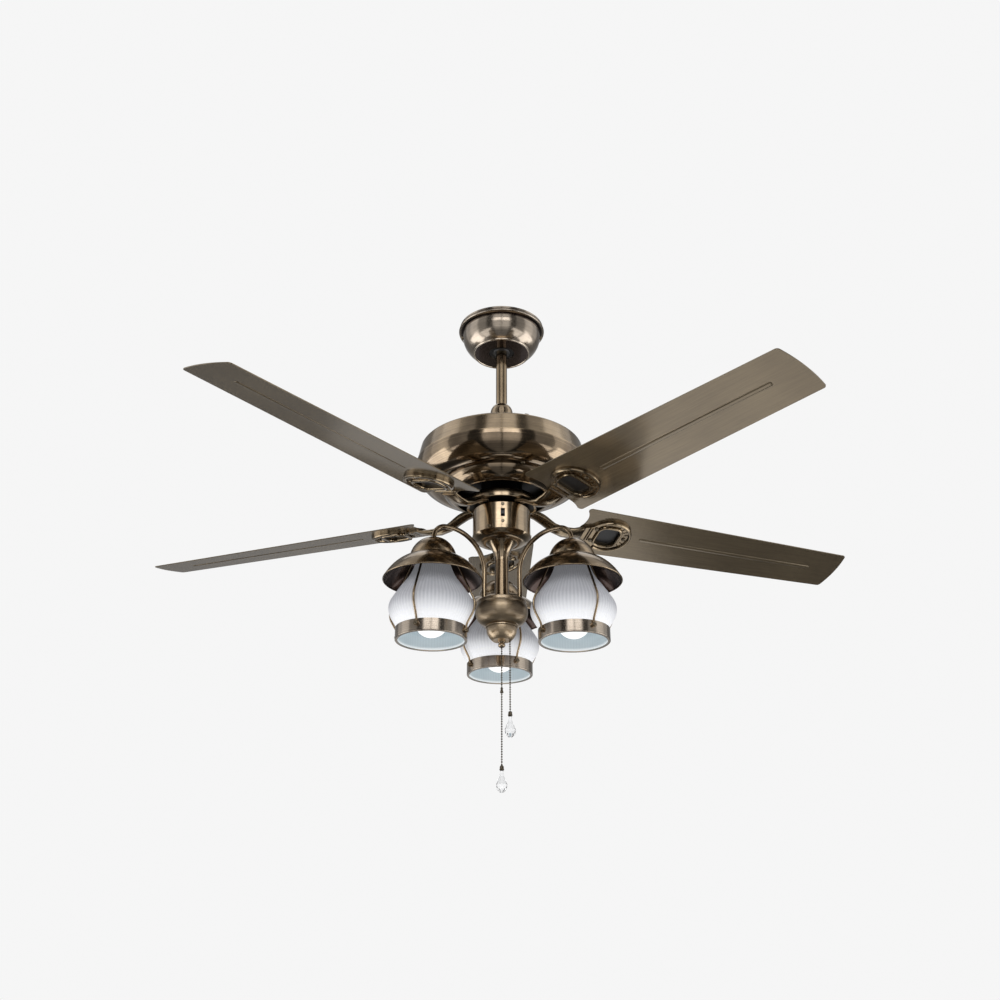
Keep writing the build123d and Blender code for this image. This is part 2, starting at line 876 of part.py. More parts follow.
def blade_plan():
    root = blade_root_radius
    half_root = blade_root_width / 2
    half_tip = blade_tip_width / 2
    nub = root_nub_width / 2
    nub_x = root + root_nub_height
    tip = sweep_radius / cos(radians(blade_droop)) - blade_tip_bulge
    lobe = half_root - root_corner
    wave = (lobe + nub) / 2
    plan = make_face([
        Line((root, -half_root), (tip, -half_tip)),
        ThreePointArc((tip, -half_tip), (tip + blade_tip_bulge, 0), (tip, half_tip)),
        Line((tip, half_tip), (root, half_root)),
        Line((root, half_root), (root, lobe)),
        ThreePointArc((root, lobe), (root + root_wave, wave), (nub_x, nub)),
        ThreePointArc((nub_x, nub), (root, 0), (nub_x, -nub)),
        ThreePointArc((nub_x, -nub), (root + root_wave, -wave), (root, -lobe)),
        Line((root, -lobe), (root, -half_root)),
    ])
    corners = plan.vertices()
    tip_corners = [spot for spot in corners if spot.X > tip - fit_gap]
    root_corners = [spot for spot in corners if spot.X < tip - fit_gap and abs(spot.Y) > lobe + fit_gap]
    return fillet(tip_corners + root_corners, blade_corner)


def make_blade():
    top = blade_thickness / 2
    plate = extrude(Pos(0, 0, -top) * blade_plan(), amount=blade_thickness)
    plate += rib_slot(rib_width, 0, top + rib_depth)
    plate -= rib_slot(rib_width - 2 * rib_wall, -blade_thickness, top + rib_depth - blade_thickness)
    for across, along in blade_screw_places():
        plate -= Pos(across, along, 0) * Cylinder(screw_radius + screw_clearance, 4 * blade_thickness)
    return blade_place() * plate


def iron_middle():
    # Middle of the iron's plate below the blade, in the blade's frame
    return -(blade_thickness + iron_thickness) / 2


def make_strap():
    z_tab = z_hub - iron_tab_thickness / 2
    neck = blade_place() * Pos(iron_neck_radius, 0, iron_middle())
    drop = z_tab - neck.position.Z + strap_dip
    reach = iron_neck_radius - strap_dip_back - strap_start
    places = [Vector(strap_start + reach * out, 0, z_tab - drop * down) for out, down, _ in strap_steps]
    places.append(neck.position)
    sections = []
    for number, (out, _, pitch) in enumerate(strap_steps):
        ahead = Vector(1, 0, 0)
        if number:
            ahead = (places[number + 1] - places[number - 1]).normalized()
        twist = radians(blade_pitch * pitch)
        plane = Plane(origin=places[number], x_dir=(0, cos(twist), sin(twist)), z_dir=ahead)
        thickness = iron_thickness if number else iron_tab_thickness
        sections.append(plane * Rectangle(strap_width + strap_swell * int(out), thickness))
    end = neck * Rot(0, 90, 0) * Rot(0, 0, 90)
    sections.append(end * Rectangle(iron_neck_width, iron_thickness))
    return loft(sections)


def iron_plan():
    half_neck = iron_neck_width / 2
    meet = iron_loop_radius - iron_flare_inset
    spread = meet * sin(radians(iron_flare_angle))
    neck_end = iron_loop_centre + meet * cos(radians(iron_flare_angle))
    middle = (iron_neck_radius + neck_end) / 2
    dip = (half_neck + spread) / 2 - iron_flare_dip
    flare = make_face([
        Line((iron_neck_radius, -half_neck), (iron_neck_radius, half_neck)),
        ThreePointArc((iron_neck_radius, half_neck), (middle, dip), (neck_end, spread)),
        Line((neck_end, spread), (neck_end, -spread)),
        ThreePointArc((neck_end, -spread), (middle, -dip), (iron_neck_radius, -half_neck)),
    ])
    corner = min(window_corner, largest_corner_share * min(window_length, window_width))
    window = RectangleRounded(window_length, window_width, corner)
    loop = Pos(iron_loop_centre, 0) * Circle(iron_loop_radius)
    return loop + flare - Pos(iron_loop_centre - window_shift, 0) * window


def make_iron():
    loop = extrude(Pos(0, 0, iron_middle() - iron_thickness / 2) * iron_plan(), amount=iron_thickness)
    for across, along in blade_screw_places():
        loop -= Pos(across, along, 0) * Cylinder(screw_radius + screw_clearance, 6 * iron_thickness)
    tab = Pos(strap_start - tab_length / 2, 0, z_hub - iron_tab_thickness / 2)
    tab *= Box(tab_length, strap_width, iron_tab_thickness)
    for across, along in iron_screw_places():
        tab -= Pos(across, along, z_hub) * Cylinder(screw_radius + screw_clearance, 4 * iron_tab_thickness)
    return tab + make_strap() + blade_place() * loop


def make_blade_screws():
    under_iron = iron_middle() - iron_thickness / 2
    blade_screw = Rot(180, 0, 0) * screw(iron_thickness + blade_thickness + screw_end)
    hub_screw = Rot(180, 0, 0) * flat_screw(iron_tab_thickness + hub_screw_grip)
    screws = []
    for angle in blade_angles():
        for across, along in blade_screw_places():
            screws.append(turned(blade_place() * Pos(across, along, under_iron) * blade_screw, angle))
        for across, along in iron_screw_places():
            screws.append(turned(Pos(across, along, z_hub - iron_tab_thickness) * hub_screw, angle))
    return screws


# Switch housing

def make_switch_plate():
    radius = switch_radius - switch_wall - slide_gap
    return tube(radius, shaft_radius + fit_gap, z_plate + plate_thickness, z_plate)


def reverse_screw_levels():
    return [z_reverse + side * reverse_screw_spacing / 2 for side in (-1, 1)]


def make_switch_housing():
    wall = switch_wall
    shoulder = (switch_radius - switch_round, z_switch_top)
    side = (switch_radius, z_switch_top - switch_round)
    shell = lathe(
        (switch_radius - switch_lip, z_switch_top),
        shoulder,
        bulged(shoulder, side, switch_round_bulge),
        (switch_radius, z_switch),
        (switch_radius - wall, z_switch),
        (switch_radius - wall, z_switch_top - wall),
        (switch_radius - switch_lip, z_switch_top - wall),
    )
    front = Pos(reverse_offset, -switch_radius, z_reverse)
    shell -= front * Box(reverse_slot_width, switch_radius / 2, reverse_slot_height)
    hole_radius = small_screw_radius + screw_clearance
    for level in reverse_screw_levels():
        shell -= rod_along_y(hole_radius, switch_radius / 2, (reverse_offset, -switch_radius, level))
    for angle in switch_screw_angles:
        shell -= turned(rod_along_x(hole_radius, 6 * wall, (switch_radius, 0, z_switch_screw)), angle)
    return shell


def reverse_front():
    # Front face of the reverse switch, just behind the curved wall
    half = reverse_body_width / 2 + reverse_offset
    return -sqrt((switch_radius - switch_wall) ** 2 - half ** 2) + slide_gap


def make_reverse_body():
    front = reverse_front()
    slot_depth = knob_root + knob_gap
    body = Box(reverse_body_width, reverse_body_depth, reverse_body_height)
    body = Pos(reverse_offset, front + reverse_body_depth / 2, z_reverse) * body
    slot = Box(reverse_slot_width, slot_depth, reverse_slot_height)
    body -= Pos(reverse_offset, front + slot_depth / 2, z_reverse) * slot
    for level in reverse_screw_levels():
        body -= rod_along_y(small_screw_radius, 3 * reverse_screw_grip, (reverse_offset, front, level))
    return body


def make_reverse_knob():
    back = reverse_front() + knob_root
    tip = -switch_radius - knob_proud
    knob = Box(knob_width, back - tip, knob_height)
    knob = fillet(knob.edges().filter_by(Axis.X).group_by(Axis.Y)[0], knob_round)
    return Pos(reverse_offset, (back + tip) / 2, z_reverse) * knob


def make_capacitor():
    can = Pos(0, capacitor_offset, 0) * disc(capacitor_radius, z_plate, z_plate - capacitor_height)
    return fillet(can.edges().group_by(Axis.Z)[0], capacitor_round)


# Light kit column

def make_fitter():
    lip = switch_radius - switch_wall - fitter_lip_gap
    rim = (switch_radius + fitter_rim, z_switch - fitter_rim_height)
    neck = (fitter_neck_radius, z_fitter)
    throat = (fitter_neck_radius - fitter_step, z_fitter)
    foot = (post_radius + trumpet_foot, z_trumpet)
    body = lathe(
        (fitter_bore_radius, z_switch),
        (lip - 2 * fitter_lip_wall, z_switch),
        (lip - fitter_lip_wall, z_fitter_lip),
        (lip, z_fitter_lip),
        (lip, z_switch),
        (rim[0], z_switch),
        rim,
        bulged(rim, neck, fitter_bulge),
        throat,
        bulged(throat, foot, -trumpet_flare),
        (fitter_bore_radius, z_trumpet),
    )
    for angle in switch_screw_angles:
        hole = rod_along_x(small_screw_radius, 3 * fitter_lip_wall, (lip, 0, z_switch_screw))
        body -= turned(hole, angle)
    return body


def make_post():
    return tube(post_radius, post_radius - post_wall, z_trumpet, z_arm_bowl)


def lantern_angles():
    return even_angles(lantern_count, lantern_phase)


def make_arm_bowl():
    wall = arm_bowl_wall
    brow = (arm_bowl_radius - arm_bowl_edge, z_arm_bowl)
    edge = (arm_bowl_radius, z_arm_bowl - arm_bowl_edge)
    rim = (arm_bowl_radius, z_arm_bowl - arm_bowl_rim)
    neck = (arm_bowl_neck_radius, z_neck)
    bead = neck[0] + neck_bead
    bead_top = z_neck - neck_bead_edge
    bead_low = bead_top - neck_bead_height
    under = (neck[0] - neck_step, bead_low - neck_bead_edge)
    end = (knob_end_radius, z_knob_end)
    outer = lathe(
        (0, z_arm_bowl),
        brow,
        bulged(brow, edge, arm_bowl_edge_bulge),
        rim,
        bulged(rim, neck, arm_bowl_bulge),
        (bead, bead_top),
        (bead, bead_low),
        under,
        bulged(under, end, knob_end_bulge),
        (0, z_knob_end),
    )
    inner_rim = (rim[0] - wall, rim[1])
    inner_neck = (neck[0] - wall, z_neck)
    inner_under = (under[0] - wall, under[1])
    inner_end = (end[0] - wall, z_knob_end + wall)
    inner = lathe(
        (0, z_arm_bowl - wall),
        (inner_rim[0], z_arm_bowl - wall),
        inner_rim,
        bulged(inner_rim, inner_neck, arm_bowl_bulge),
        inner_under,
        bulged(inner_under, inner_end, knob_end_bulge),
        (0, inner_end[1]),
    )
    body = outer - inner
    body -= disc(post_radius - post_wall, z_arm_bowl, z_arm_bowl - wall)
    body -= disc(finial_stub_radius + fit_gap, z_knob_end + 2 * wall, z_knob_end)
    hole = disc(chain_radius + chain_gap, z_knob_end + light_hole_depth, z_knob_end - cut_margin)
    body -= Pos(light_chain_offset, 0, 0) * hole
    for angle in lantern_angles():
        body -= turned(Pos(arm_root, 0, z_arm_bowl) * Cylinder(arm_radius + fit_gap, 4 * wall), angle)
    return body


def make_finial():
    stub_top = z_knob_end + arm_bowl_wall + screw_end
    collar = (finial_radius, z_knob_end - finial_collar)
    waist = (finial_waist_radius, collar[1] - finial_waist_drop)
    tip = (chain_radius + chain_gap + finial_wall, z_finial)
    body = lathe(
        (0, z_knob_end),
        (finial_radius, z_knob_end),
        collar,
        waist,
        bulged(waist, tip, finial_bulge),
        (0, z_finial),
    )
    body += disc(finial_stub_radius, stub_top, z_knob_end)
    return body - disc(chain_radius + chain_gap, stub_top, z_finial)


def make_pull_switches():
    body = Box(switch_body_width, switch_body_depth, switch_body_height)
    body = Pos(0, 0, z_pull_switch + switch_body_height / 2) * body
    nozzle_end = z_pull_switch - nozzle_length
    body += disc(nozzle_radius, z_pull_switch, nozzle_end)
    body -= disc(chain_radius + nozzle_clearance, z_pull_switch + chain_tuck, nozzle_end)
    return [body, Pos(light_chain_offset, 0, 0) * body]


# Arms and lanterns

def make_arm():
    low = Vector(arm_root, 0, z_arm_bowl - arm_stub)
    bend = Vector(arm_root, 0, z_arm_bowl + arm_rise)
    crest = Vector(arm_root + arm_sweep, 0, z_arm_top)
    fall = Vector(lantern_radius - arm_tip_bend, 0, z_arm_top)
    drop = Vector(lantern_radius, 0, z_arm_drop)
    tip = Vector(lantern_radius, 0, z_arm_end)
    half = cos(radians(45))
    crest_centre = Vector(crest.X, 0, bend.Z)
    rise_middle = crest_centre + Vector(-arm_sweep * half, 0, arm_sweep * half)
    fall_centre = Vector(fall.X, 0, z_arm_drop)
    fall_middle = fall_centre + Vector(arm_tip_bend * half, 0, arm_tip_bend * half)
    path = Wire([
        Edge.make_line(low, bend),
        Edge.make_three_point_arc(bend, rise_middle, crest),
        Edge.make_line(crest, fall),
        Edge.make_three_point_arc(fall, fall_middle, drop),
        Edge.make_line(drop, tip),
    ])
    section = Plane(origin=low, z_dir=(0, 0, 1)) * (Circle(arm_radius) - Circle(arm_radius - arm_wall))
    return sweep(section, path=path)


def make_hood():
    wall = hood_wall
    brim = z_hood - hood_height
    top = (hood_top_radius, z_hood)
    cap = (hood_cap_radius, z_hood - hood_cap_height)
    step = (cap[0] + hood_step, cap[1] - hood_step)
    rim = (hood_radius - hood_bead, brim + 2 * hood_bead)
    inner_top = (top[0] - wall / 2, z_hood - wall)
    inner_cap = (cap[0] - wall, cap[1] - wall / 2)
    inner_step = (step[0] - wall / 2, step[1] - wall)
    inner_rim = (rim[0] - wall, rim[1])
    return lathe(
        (arm_radius + fit_gap, z_hood),
        top,
        bulged(top, cap, hood_cap_bulge),
        step,
        bulged(step, rim, hood_bulge),
        bulged(rim, (rim[0] - wall / 2, brim), hood_bead),
        (inner_rim[0], brim + hood_bead),
        inner_rim,
        bulged(inner_rim, inner_step, -hood_bulge),
        inner_cap,
        bulged(inner_cap, inner_top, -hood_cap_bulge),
        (arm_radius + fit_gap, z_hood - wall),
    )


def make_lampholder():
    top = z_hood - hood_wall
    body = disc(hood_top_radius - holder_cap_inset, top, top - holder_cap_height)
    body += disc(holder_radius, top - holder_cap_height, z_holder)
    body = fillet(body.edges().filter_by(GeomType.CIRCLE).group_by(SortBy.RADIUS)[-1], holder_round)
    body -= disc(arm_radius + fit_gap, top, z_arm_end)
    return body - disc(bulb_cap_radius + bulb_cap_gap, z_holder + bulb_neck, z_holder)


def make_bulb():
    top = z_holder + bulb_neck
    low = top - bulb_length
    centre = low + bulb_radius
    join = radians(bulb_join)
    middle = (join - radians(90)) / 2
    neck = (bulb_cap_radius, z_holder - bulb_collar)
    shoulder = (bulb_radius * cos(join), centre + bulb_radius * sin(join))
    globe = (bulb_radius * cos(middle), centre + bulb_radius * sin(middle))
    return lathe(
        (0, top),
        (bulb_cap_radius, top),
        neck,
        bulged(neck, shoulder, -bulb_waist),
        (globe, (0, low)),
    )


def shade_points(inset):
    # Outside of the glass from its neck to its foot, or the inside when inset is the wall
    return [
        (shade_neck_radius - inset, z_hood - shade_neck_drop),
        (shade_neck_radius - inset, z_hood - shade_shoulder_drop),
        (shade_flare_radius - inset, z_hood - shade_flare_drop),
        (shade_belly_radius - inset, z_hood - shade_belly_drop),
        (shade_foot_radius - inset, z_shade_foot),
        (shade_foot_radius - inset, z_ring + ring_lip_thickness),
    ]


def make_shade():
    neck, shoulder, flare, belly, foot, low = shade_points(0)
    inner_neck, inner_shoulder, inner_flare, inner_belly, inner_foot, inner_low = shade_points(shade_wall)
    return lathe(
        neck,
        shoulder,
        flare,
        bulged(flare, belly, shade_flare_bulge),
        bulged(belly, foot, shade_foot_bulge),
        low,
        inner_low,
        inner_foot,
        bulged(inner_foot, inner_belly, -shade_foot_bulge),
        bulged(inner_belly, inner_flare, -shade_flare_bulge),
        inner_shoulder,
        inner_neck,
    )


def make_ring():
    edge = (ring_radius, z_ring + ring_edge)
    foot = (ring_radius - ring_edge, z_ring)
    lip = ring_inner_radius - ring_lip
    seat = z_ring + ring_lip_thickness
    band = lathe(
        (ring_inner_radius, z_ring_top),
        (ring_radius, z_ring_top),
        edge,
        bulged(edge, foot, ring_edge_bulge),
        (lip, z_ring),
        (lip, seat),
        (ring_inner_radius, seat),
    )
    hole = rod_along_x(small_screw_radius + screw_clearance, 6 * ring_wall, (ring_radius, 0, z_guard_screw))
    for angle in even_angles(guard_count, 0):
        band -= turned(hole, angle)
    return band


def make_guard_wire():
    # From under the hood's cap, out round the glass and in to an eye on the ring
    places = [
        (hood_cap_radius - guard_root_inset, 0, z_hood - hood_cap_height - hood_step - guard_root_gap),
        (shade_belly_radius + guard_stand_off, 0, z_hood - shade_belly_drop - guard_belly_drop),
        (guard_foot, 0, z_shade_foot),
        (guard_foot, 0, z_guard_screw + guard_eye_radius - guard_eye_overlap),
    ]
    path = FilletPolyline(*places, radius=[guard_belly_bend, guard_tuck_bend]).wire()
    start = Plane(origin=path @ 0, z_dir=path % 0)
    wire = sweep(start * Circle(guard_radius), path=path)
    middle = (guard_foot, 0, z_guard_screw)
    eye = rod_along_x(guard_eye_radius, guard_eye_thickness, middle)
    hole = rod_along_x(small_screw_radius + screw_clearance, 2 * guard_eye_thickness, middle)
    return wire + eye - hole


def make_guard_screw():
    seat = Pos(guard_foot + guard_eye_thickness / 2, 0, z_guard_screw) * Rot(0, 90, 0)
    return seat * small_screw(guard_eye_thickness + fit_gap + ring_wall)


def lantern_place(number):
    angle = lantern_angles()[number]
    return Rot(0, 0, angle) * Pos(lantern_radius, 0, 0) * Rot(0, 0, guard_turns[number])


# Pull chains

def make_chain(offset, drop):
    return Pos(offset, 0, 0) * disc(chain_radius, z_chain_top, z_finial - drop)


def make_pull(offset, drop):
    # A small metal cap on the chain's end over a clear drop
    top = z_finial - drop
    neck = top - pull_cap_height
    low = neck - pull_height
    brow = (pull_cap_top_radius, top)
    shoulder = (pull_cap_radius, top - pull_cap_shoulder)
    cap = lathe(
        (0, top),
        brow,
        bulged(brow, shoulder, pull_cap_bulge),
        (pull_cap_radius, neck),
        (0, neck),
    )
    waist = (pull_neck_radius, neck - pull_neck_height)
    belly = (pull_radius, neck - pull_belly_drop)
    tip = (pull_tip_radius, low + pull_tip_height)
    clear_drop = lathe(
        (0, neck),
        (pull_neck_radius, neck),
        waist,
        bulged(waist, belly, -pull_waist_dip),
        bulged(belly, tip, pull_belly_bulge),
        (0, low),
    )
    return [Pos(offset, 0, 0) * cap, Pos(offset, 0, 0) * clear_drop]


def make_bell():
    # The connector between the chain's upper and lower lengths
    top = z_finial - bell_drop
    low = top - bell_height
    brow = (chain_radius + bell_top_wall, top)
    side = (bell_radius, low + bell_lip)
    bell = lathe((0, top), brow, bulged(brow, side, bell_bulge), (bell_radius, low), (0, low))
    return bell - disc(chain_radius + fit_gap, top, low)


# Write every node

os.makedirs("parts", exist_ok=True)

save("canopy", [make_canopy()])
save("canopy_screws", make_canopy_screws())
save("hanger_bracket", [make_bracket()])
save("hanger_ball", [make_ball()])
save("rod_pins", make_pins())
save("downrod", [make_rod()])
save("coupling_cover", [make_cover()])
save("motor_shaft", [make_shaft()])
save("stator_core", [make_stator()])
save("stator_windings", make_windings())
save("upper_housing", [make_upper_housing()])
save("lower_housing", [make_lower_housing()])
save("lower_dish", [make_dish()])
save("housing_screws", make_housing_screws())
save("bearing_inner_sets", make_bearing_inners())
save("bearing_outer_rings", make_bearing_outers())
save("rotor_shell", [make_rotor_shell()])
save("flywheel", [make_flywheel()])
save("hub_ring", [make_hub_ring()])

iron = make_iron()
blade = make_blade()
for number, angle in enumerate(blade_angles(), start=1):
    save(f"blade_iron_{number}", [turned(iron, angle)])
    save(f"blade_{number}", [turned(blade, angle)])
save("blade_screws", make_blade_screws())

save("switch_plate", [make_switch_plate()])
save("switch_housing", [make_switch_housing()])
save("reverse_switch_body", [make_reverse_body()])
save("reverse_switch_knob", [make_reverse_knob()])
save("capacitor", [make_capacitor()])
save("fitter_cap", [make_fitter()])
save("center_post", [make_post()])
save("arm_bowl", [make_arm_bowl()])
save("finial", [make_finial()])
save("pull_switches", make_pull_switches())

arm = make_arm()
hood = make_hood()
shade = make_shade()
ring = make_ring()
holder = make_lampholder()
bulb = make_bulb()
wire = make_guard_wire()
guard_screw = make_guard_screw()
holders = []
bulbs = []
wires = []
guard_screws = []
for number, angle in enumerate(lantern_angles()):
    place = lantern_place(number)
    save(f"arm_{number + 1}", [turned(arm, angle)])
    save(f"hood_{number + 1}", [place * hood])
    save(f"glass_shade_{number + 1}", [place * shade])
    save(f"shade_ring_{number + 1}", [place * ring])
    holders.append(place * holder)
    bulbs.append(place * bulb)
    for corner in even_angles(guard_count, 0):
        wires.append(place * turned(wire, corner))
        guard_screws.append(place * turned(guard_screw, corner))
save("lampholders", holders)
save("bulbs", bulbs)
save("guard_wires", wires)
save("guard_screws", guard_screws)

save("fan_chain", [make_chain(0, fan_chain_drop)])
save("fan_pull_knob", [make_bell()] + make_pull(0, fan_chain_drop))
save("light_chain", [make_chain(light_chain_offset, light_chain_drop)])
save("light_pull_knob", make_pull(light_chain_offset, light_chain_drop))
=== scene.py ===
import math

import bmesh
import bpy
from mathutils import Matrix, Vector


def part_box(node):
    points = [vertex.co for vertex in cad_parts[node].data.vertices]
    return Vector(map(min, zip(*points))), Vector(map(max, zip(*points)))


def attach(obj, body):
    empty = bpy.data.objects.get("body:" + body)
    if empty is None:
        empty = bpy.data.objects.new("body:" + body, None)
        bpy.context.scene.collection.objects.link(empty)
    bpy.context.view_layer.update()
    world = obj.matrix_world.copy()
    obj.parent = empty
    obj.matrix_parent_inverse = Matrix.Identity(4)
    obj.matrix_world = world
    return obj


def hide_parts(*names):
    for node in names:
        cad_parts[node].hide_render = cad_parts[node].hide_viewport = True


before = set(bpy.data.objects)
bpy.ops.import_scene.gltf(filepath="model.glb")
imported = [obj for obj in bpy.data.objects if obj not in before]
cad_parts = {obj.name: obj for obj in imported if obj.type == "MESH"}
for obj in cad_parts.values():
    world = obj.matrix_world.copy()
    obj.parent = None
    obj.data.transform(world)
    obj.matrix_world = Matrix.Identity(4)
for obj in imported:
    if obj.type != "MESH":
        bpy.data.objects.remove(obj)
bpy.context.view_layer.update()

# A five-blade ceiling fan with three lanterns, hung from the ceiling at the origin.
# Lengths are in metres, +Z is up, and the front of the fan looks along -Y.

mm = 0.001
full_turn = 2 * math.pi
weld = 0.002 * mm

# Camera and studio
camera_place = (0.0, -1.780, -1.1624)
camera_pitch = 24.54
camera_yaw = 0.09
camera_lens = 40.55
sensor_width = 36.0
studio_middle = Vector((0, 0, -0.4))
studio_radius = 3.4
floor_level = -2.4
floor_radius = 30.0
floor_sides = 64
floor_grey = (0.80, 0.80, 0.80, 1)
floor_rough = 0.9
floor_glow = 0.38
backdrop_tone = 0.92
room_light = 0.55

# Soft lamps that look at the studio's middle: degrees round from the camera's side, how far out and how high
# each stands, its width, its length and its power
softboxes = {
    "front_left": (-16, 3.0, 0.3, 1.1, 2.2, 18),
    "front_right": (16, 3.0, 0.3, 1.1, 2.2, 18),
    "side_left": (-100, 2.8, -0.3, 0.9, 1.6, 16),
    "side_right": (100, 2.8, -0.3, 0.9, 1.6, 16),
    "overhead": (10, 0.6, 2.2, 2.0, 2.0, 14),
}

# Tall panels that metal and glass reflect on both sides: where each starts and ends, in degrees round
# from the camera's side, and its tone
panel_rise = (-88, 88)
panel_fade = (-2.5, -0.7)
panel_foot_tone = 0.25
panel_steps = 16
panels = [
    (0, 1.2, 0.03), (1.2, 24, 1.0), (24, 42, 0.05), (42, 70, 0.42), (70, 100, 1.2), (100, 122, 0.70),
    (122, 160, 0.22), (160, 180, 0.62),
]

# Smaller panels before them: start, end and tone, the height that each spans in degrees, and its sides
left, right = -1, 1
both_sides = (left, right)
near_radius = 3.3
near_foot_tone = 1.0
near_panels = {
    "window": (1.6, 22, 3.6, (14, 27), both_sides),
    "low_window": (34, 70, 2.0, (-48, -16), both_sides),
    "side_window": (76, 114, 3.0, (-46, -4), both_sides),
    "back_strip": (150, 180, 0.30, (-3, 22), both_sides),
    "ceiling_front": (0, 135, 0.6, (58, 88), both_sides),
    "ceiling_back": (135, 180, 1.15, (48, 88), both_sides),
    "floor_left": (167.5, 172, 1.4, (-78, -28), (left,)),
    "floor_middle": (172, 180, 1.5, (-78, -28), both_sides),
    "floor_right": (158, 172, 1.3, (-78, -28), (right,)),
}

# Angles over which an edge shows as a crease, in degrees
crease = 35
soft_crease = 60
facet_crease = 5

# Pull chains: a hanging line each, the beads on it and what it carries
bead_radius = 1.5 * mm
bead_segments = 10
bead_rings = 6
bead_pitch = 4.0 * mm
link_radius = 0.5 * mm
link_sides = 6
fan_chain_route = [(0, 0, -0.5540), (0, 0, -0.6300), (0, 0, -0.7400), (0, 0, -0.8075)]
light_chain_route = [
    (0.0135, 0, -0.5540), (0.0135, 0, -0.6100), (0.0135, 0, -0.6700), (0.0135, 0, -0.7215),
]
bell_top = -0.6835
cap_outline = [
    (0, 0), (1.9, 0, 0.3), (3.2, -2.4, 0.3), (3.2, -5.2), (3.7, -5.6, 0.2), (3.7, -6.8), (2.8, -8), (0, -8),
]
bell_outline = [
    (0, 0), (1.9, 0, 0.2), (2.4, -1.2), (1.9, -2, -0.2), (2.2, -4, -0.3), (2.9, -7.2), (2.7, -8), (0, -7),
]
drop_outline = [
    (0, 0), (2.6, 0), (2.6, -4), (3.6, -9), (6.6, -16), (9, -22), (7.6, -28.5), (4, -33), (0, -34),
]
drop_facets = 8
fitting_sides = 24
fitting_arc_steps = 4

# Rolled bead round the canopy's foot, and the groove under its upper rim where shade is painted
roll_middle = 50.4 * mm
roll_level = -52.9 * mm
roll_round = 1.9 * mm
roll_sides = 16
roll_steps = 96
groove_level = -11.0 * mm
groove_half = 0.7 * mm

# Lantern glass, as radius and drop below its top edge, with the bulge of each arc
glass_outline = [
    (25, 0), (25, -9), (29.7, -18.5, -0.3), (41, -42.5, -0.9), (66, -79, 0.7), (69.4, -91, 0.9),
    (66.5, -104, 0.75), (57.5, -119, 0.2), (55.8, -123, -0.2), (55.8, -143.1),
]
glass_arc_steps = 8
glass_wall = 2.6 * mm
glass_flutes = 72
flute_depth = 0.5 * mm
flute_steps = 6
flute_fade = 9 * mm

# Painted light on the glass: a glow that brightens it below the hood's shade, and a painted highlight at the
# rim inside. The levels where it starts and where it is full, outside and inside, its colour where it is
# least, and how much of the flutes' painted shade it takes away
frost_glow = (-0.566, -0.603)
rim_glow = (-0.6190, -0.6240)
glow_least = (0.085, 0.086, 0.090, 1)
glow_evens = 0.7

# Blades and their irons, in each blade's own frame: x out along it, y across it, z square to it
blade_count = 5
blade_phase = 18.4
blade_level = -382.9 * mm
blade_droop = 1.7
blade_pitch = -14.1
iron_under = -5.3 * mm
relief_sides = 10
fine_sides = 8
degrees_a_step = 9
least_steps = 3
loop_middle = 199 * mm
loop_radius = 41 * mm
rim_radius = 3.3 * mm
rim_inset = 3.2 * mm
rim_half_turn = 118
window_middle = 196 * mm
window_length = 38 * mm
window_width = 48 * mm
window_corner = 12 * mm
lip_radius = 2.8 * mm
lip_inset = 2.0 * mm
lip_drop = 1.2 * mm
# A dark sheet in each iron's window, as painted shade: its level, depth, gap and corner steps
shade_sheet_level = -1.5 * mm
shade_sheet_depth = 1.0 * mm
shade_sheet_gap = 0.2 * mm
shade_sheet_corner_steps = 6
rung_radius = 1.0 * mm
rung_start = 27 * mm
rung_length = 10 * mm
rung_angles = [-70, -54, -38, -22, 22, 38, 54, 70]
band_places = [159 * mm, 163.5 * mm]
band_half_width = 17 * mm
band_radius = 1.5 * mm

# Pressed rib under each blade, and the rounded strap from each iron to the hub. A ring of the strap is its
# distance out, its level, half of its width and of its depth, in millimetres, and its share of the pitch
rib_start = 259 * mm
rib_end = 605 * mm
rib_half_width = 4.4 * mm
rib_stand = 1.0 * mm
rib_segments = 24
rib_rings = 16
blade_under = -0.8 * mm
strap_rings = [
    (52, -371.0, 10.5, 2.2, 0), (62, -372.5, 11.5, 4.5, 0.05), (76, -378.5, 12.8, 6.2, 0.2),
    (94, -389.5, 13.4, 6.6, 0.4), (112, -395.0, 13.8, 6.6, 0.7), (130, -395.0, 14.6, 5.6, 0.9),
    (148, -392.0, 15.6, 4.0, 1),
]
strap_sides = 20

# Finishes: how fine each grain is and how far it stands in relief, then the colours
turned_fineness = 900.0
drawn_fineness = 700.0
blade_fineness = 520.0
plain_fineness = 400.0
cast_fineness = 160.0
metal_relief = 0.02 * mm
moulded_relief = 0.03 * mm
line_stretch = (0.012, 1, 1)
noise_middle = 0.5
marks_share = 0.9
patina_share = 0.8
inside_below = -0.02
downward_below = -0.97
bronze_dark = (0.090, 0.062, 0.040, 1)
bronze_light = (0.480, 0.368, 0.240, 1)
pale_dark = (0.110, 0.086, 0.068, 1)
pale_light = (0.540, 0.460, 0.370, 1)
lacquer = 0.45
hood_lacquer = 0.2
lacquer_rough = 0.05
# Painted shade inside the hoods, under the canopy and in its groove
unlit_inside = (0.032, 0.018, 0.014, 1)
cast_dark = (0.040, 0.028, 0.018, 1)
cast_light = (0.380, 0.285, 0.170, 1)
blade_dark = (0.122, 0.094, 0.062, 1)
blade_light = (0.228, 0.178, 0.112, 1)
# Glass: painted shade in the flutes (dark), its own tone (light) and the painted glow at full (lit)
frost_dark = (0.38, 0.385, 0.42, 1)
frost_light = (0.49, 0.495, 0.53, 1)
frost_lit = (0.58, 0.58, 0.58, 1)
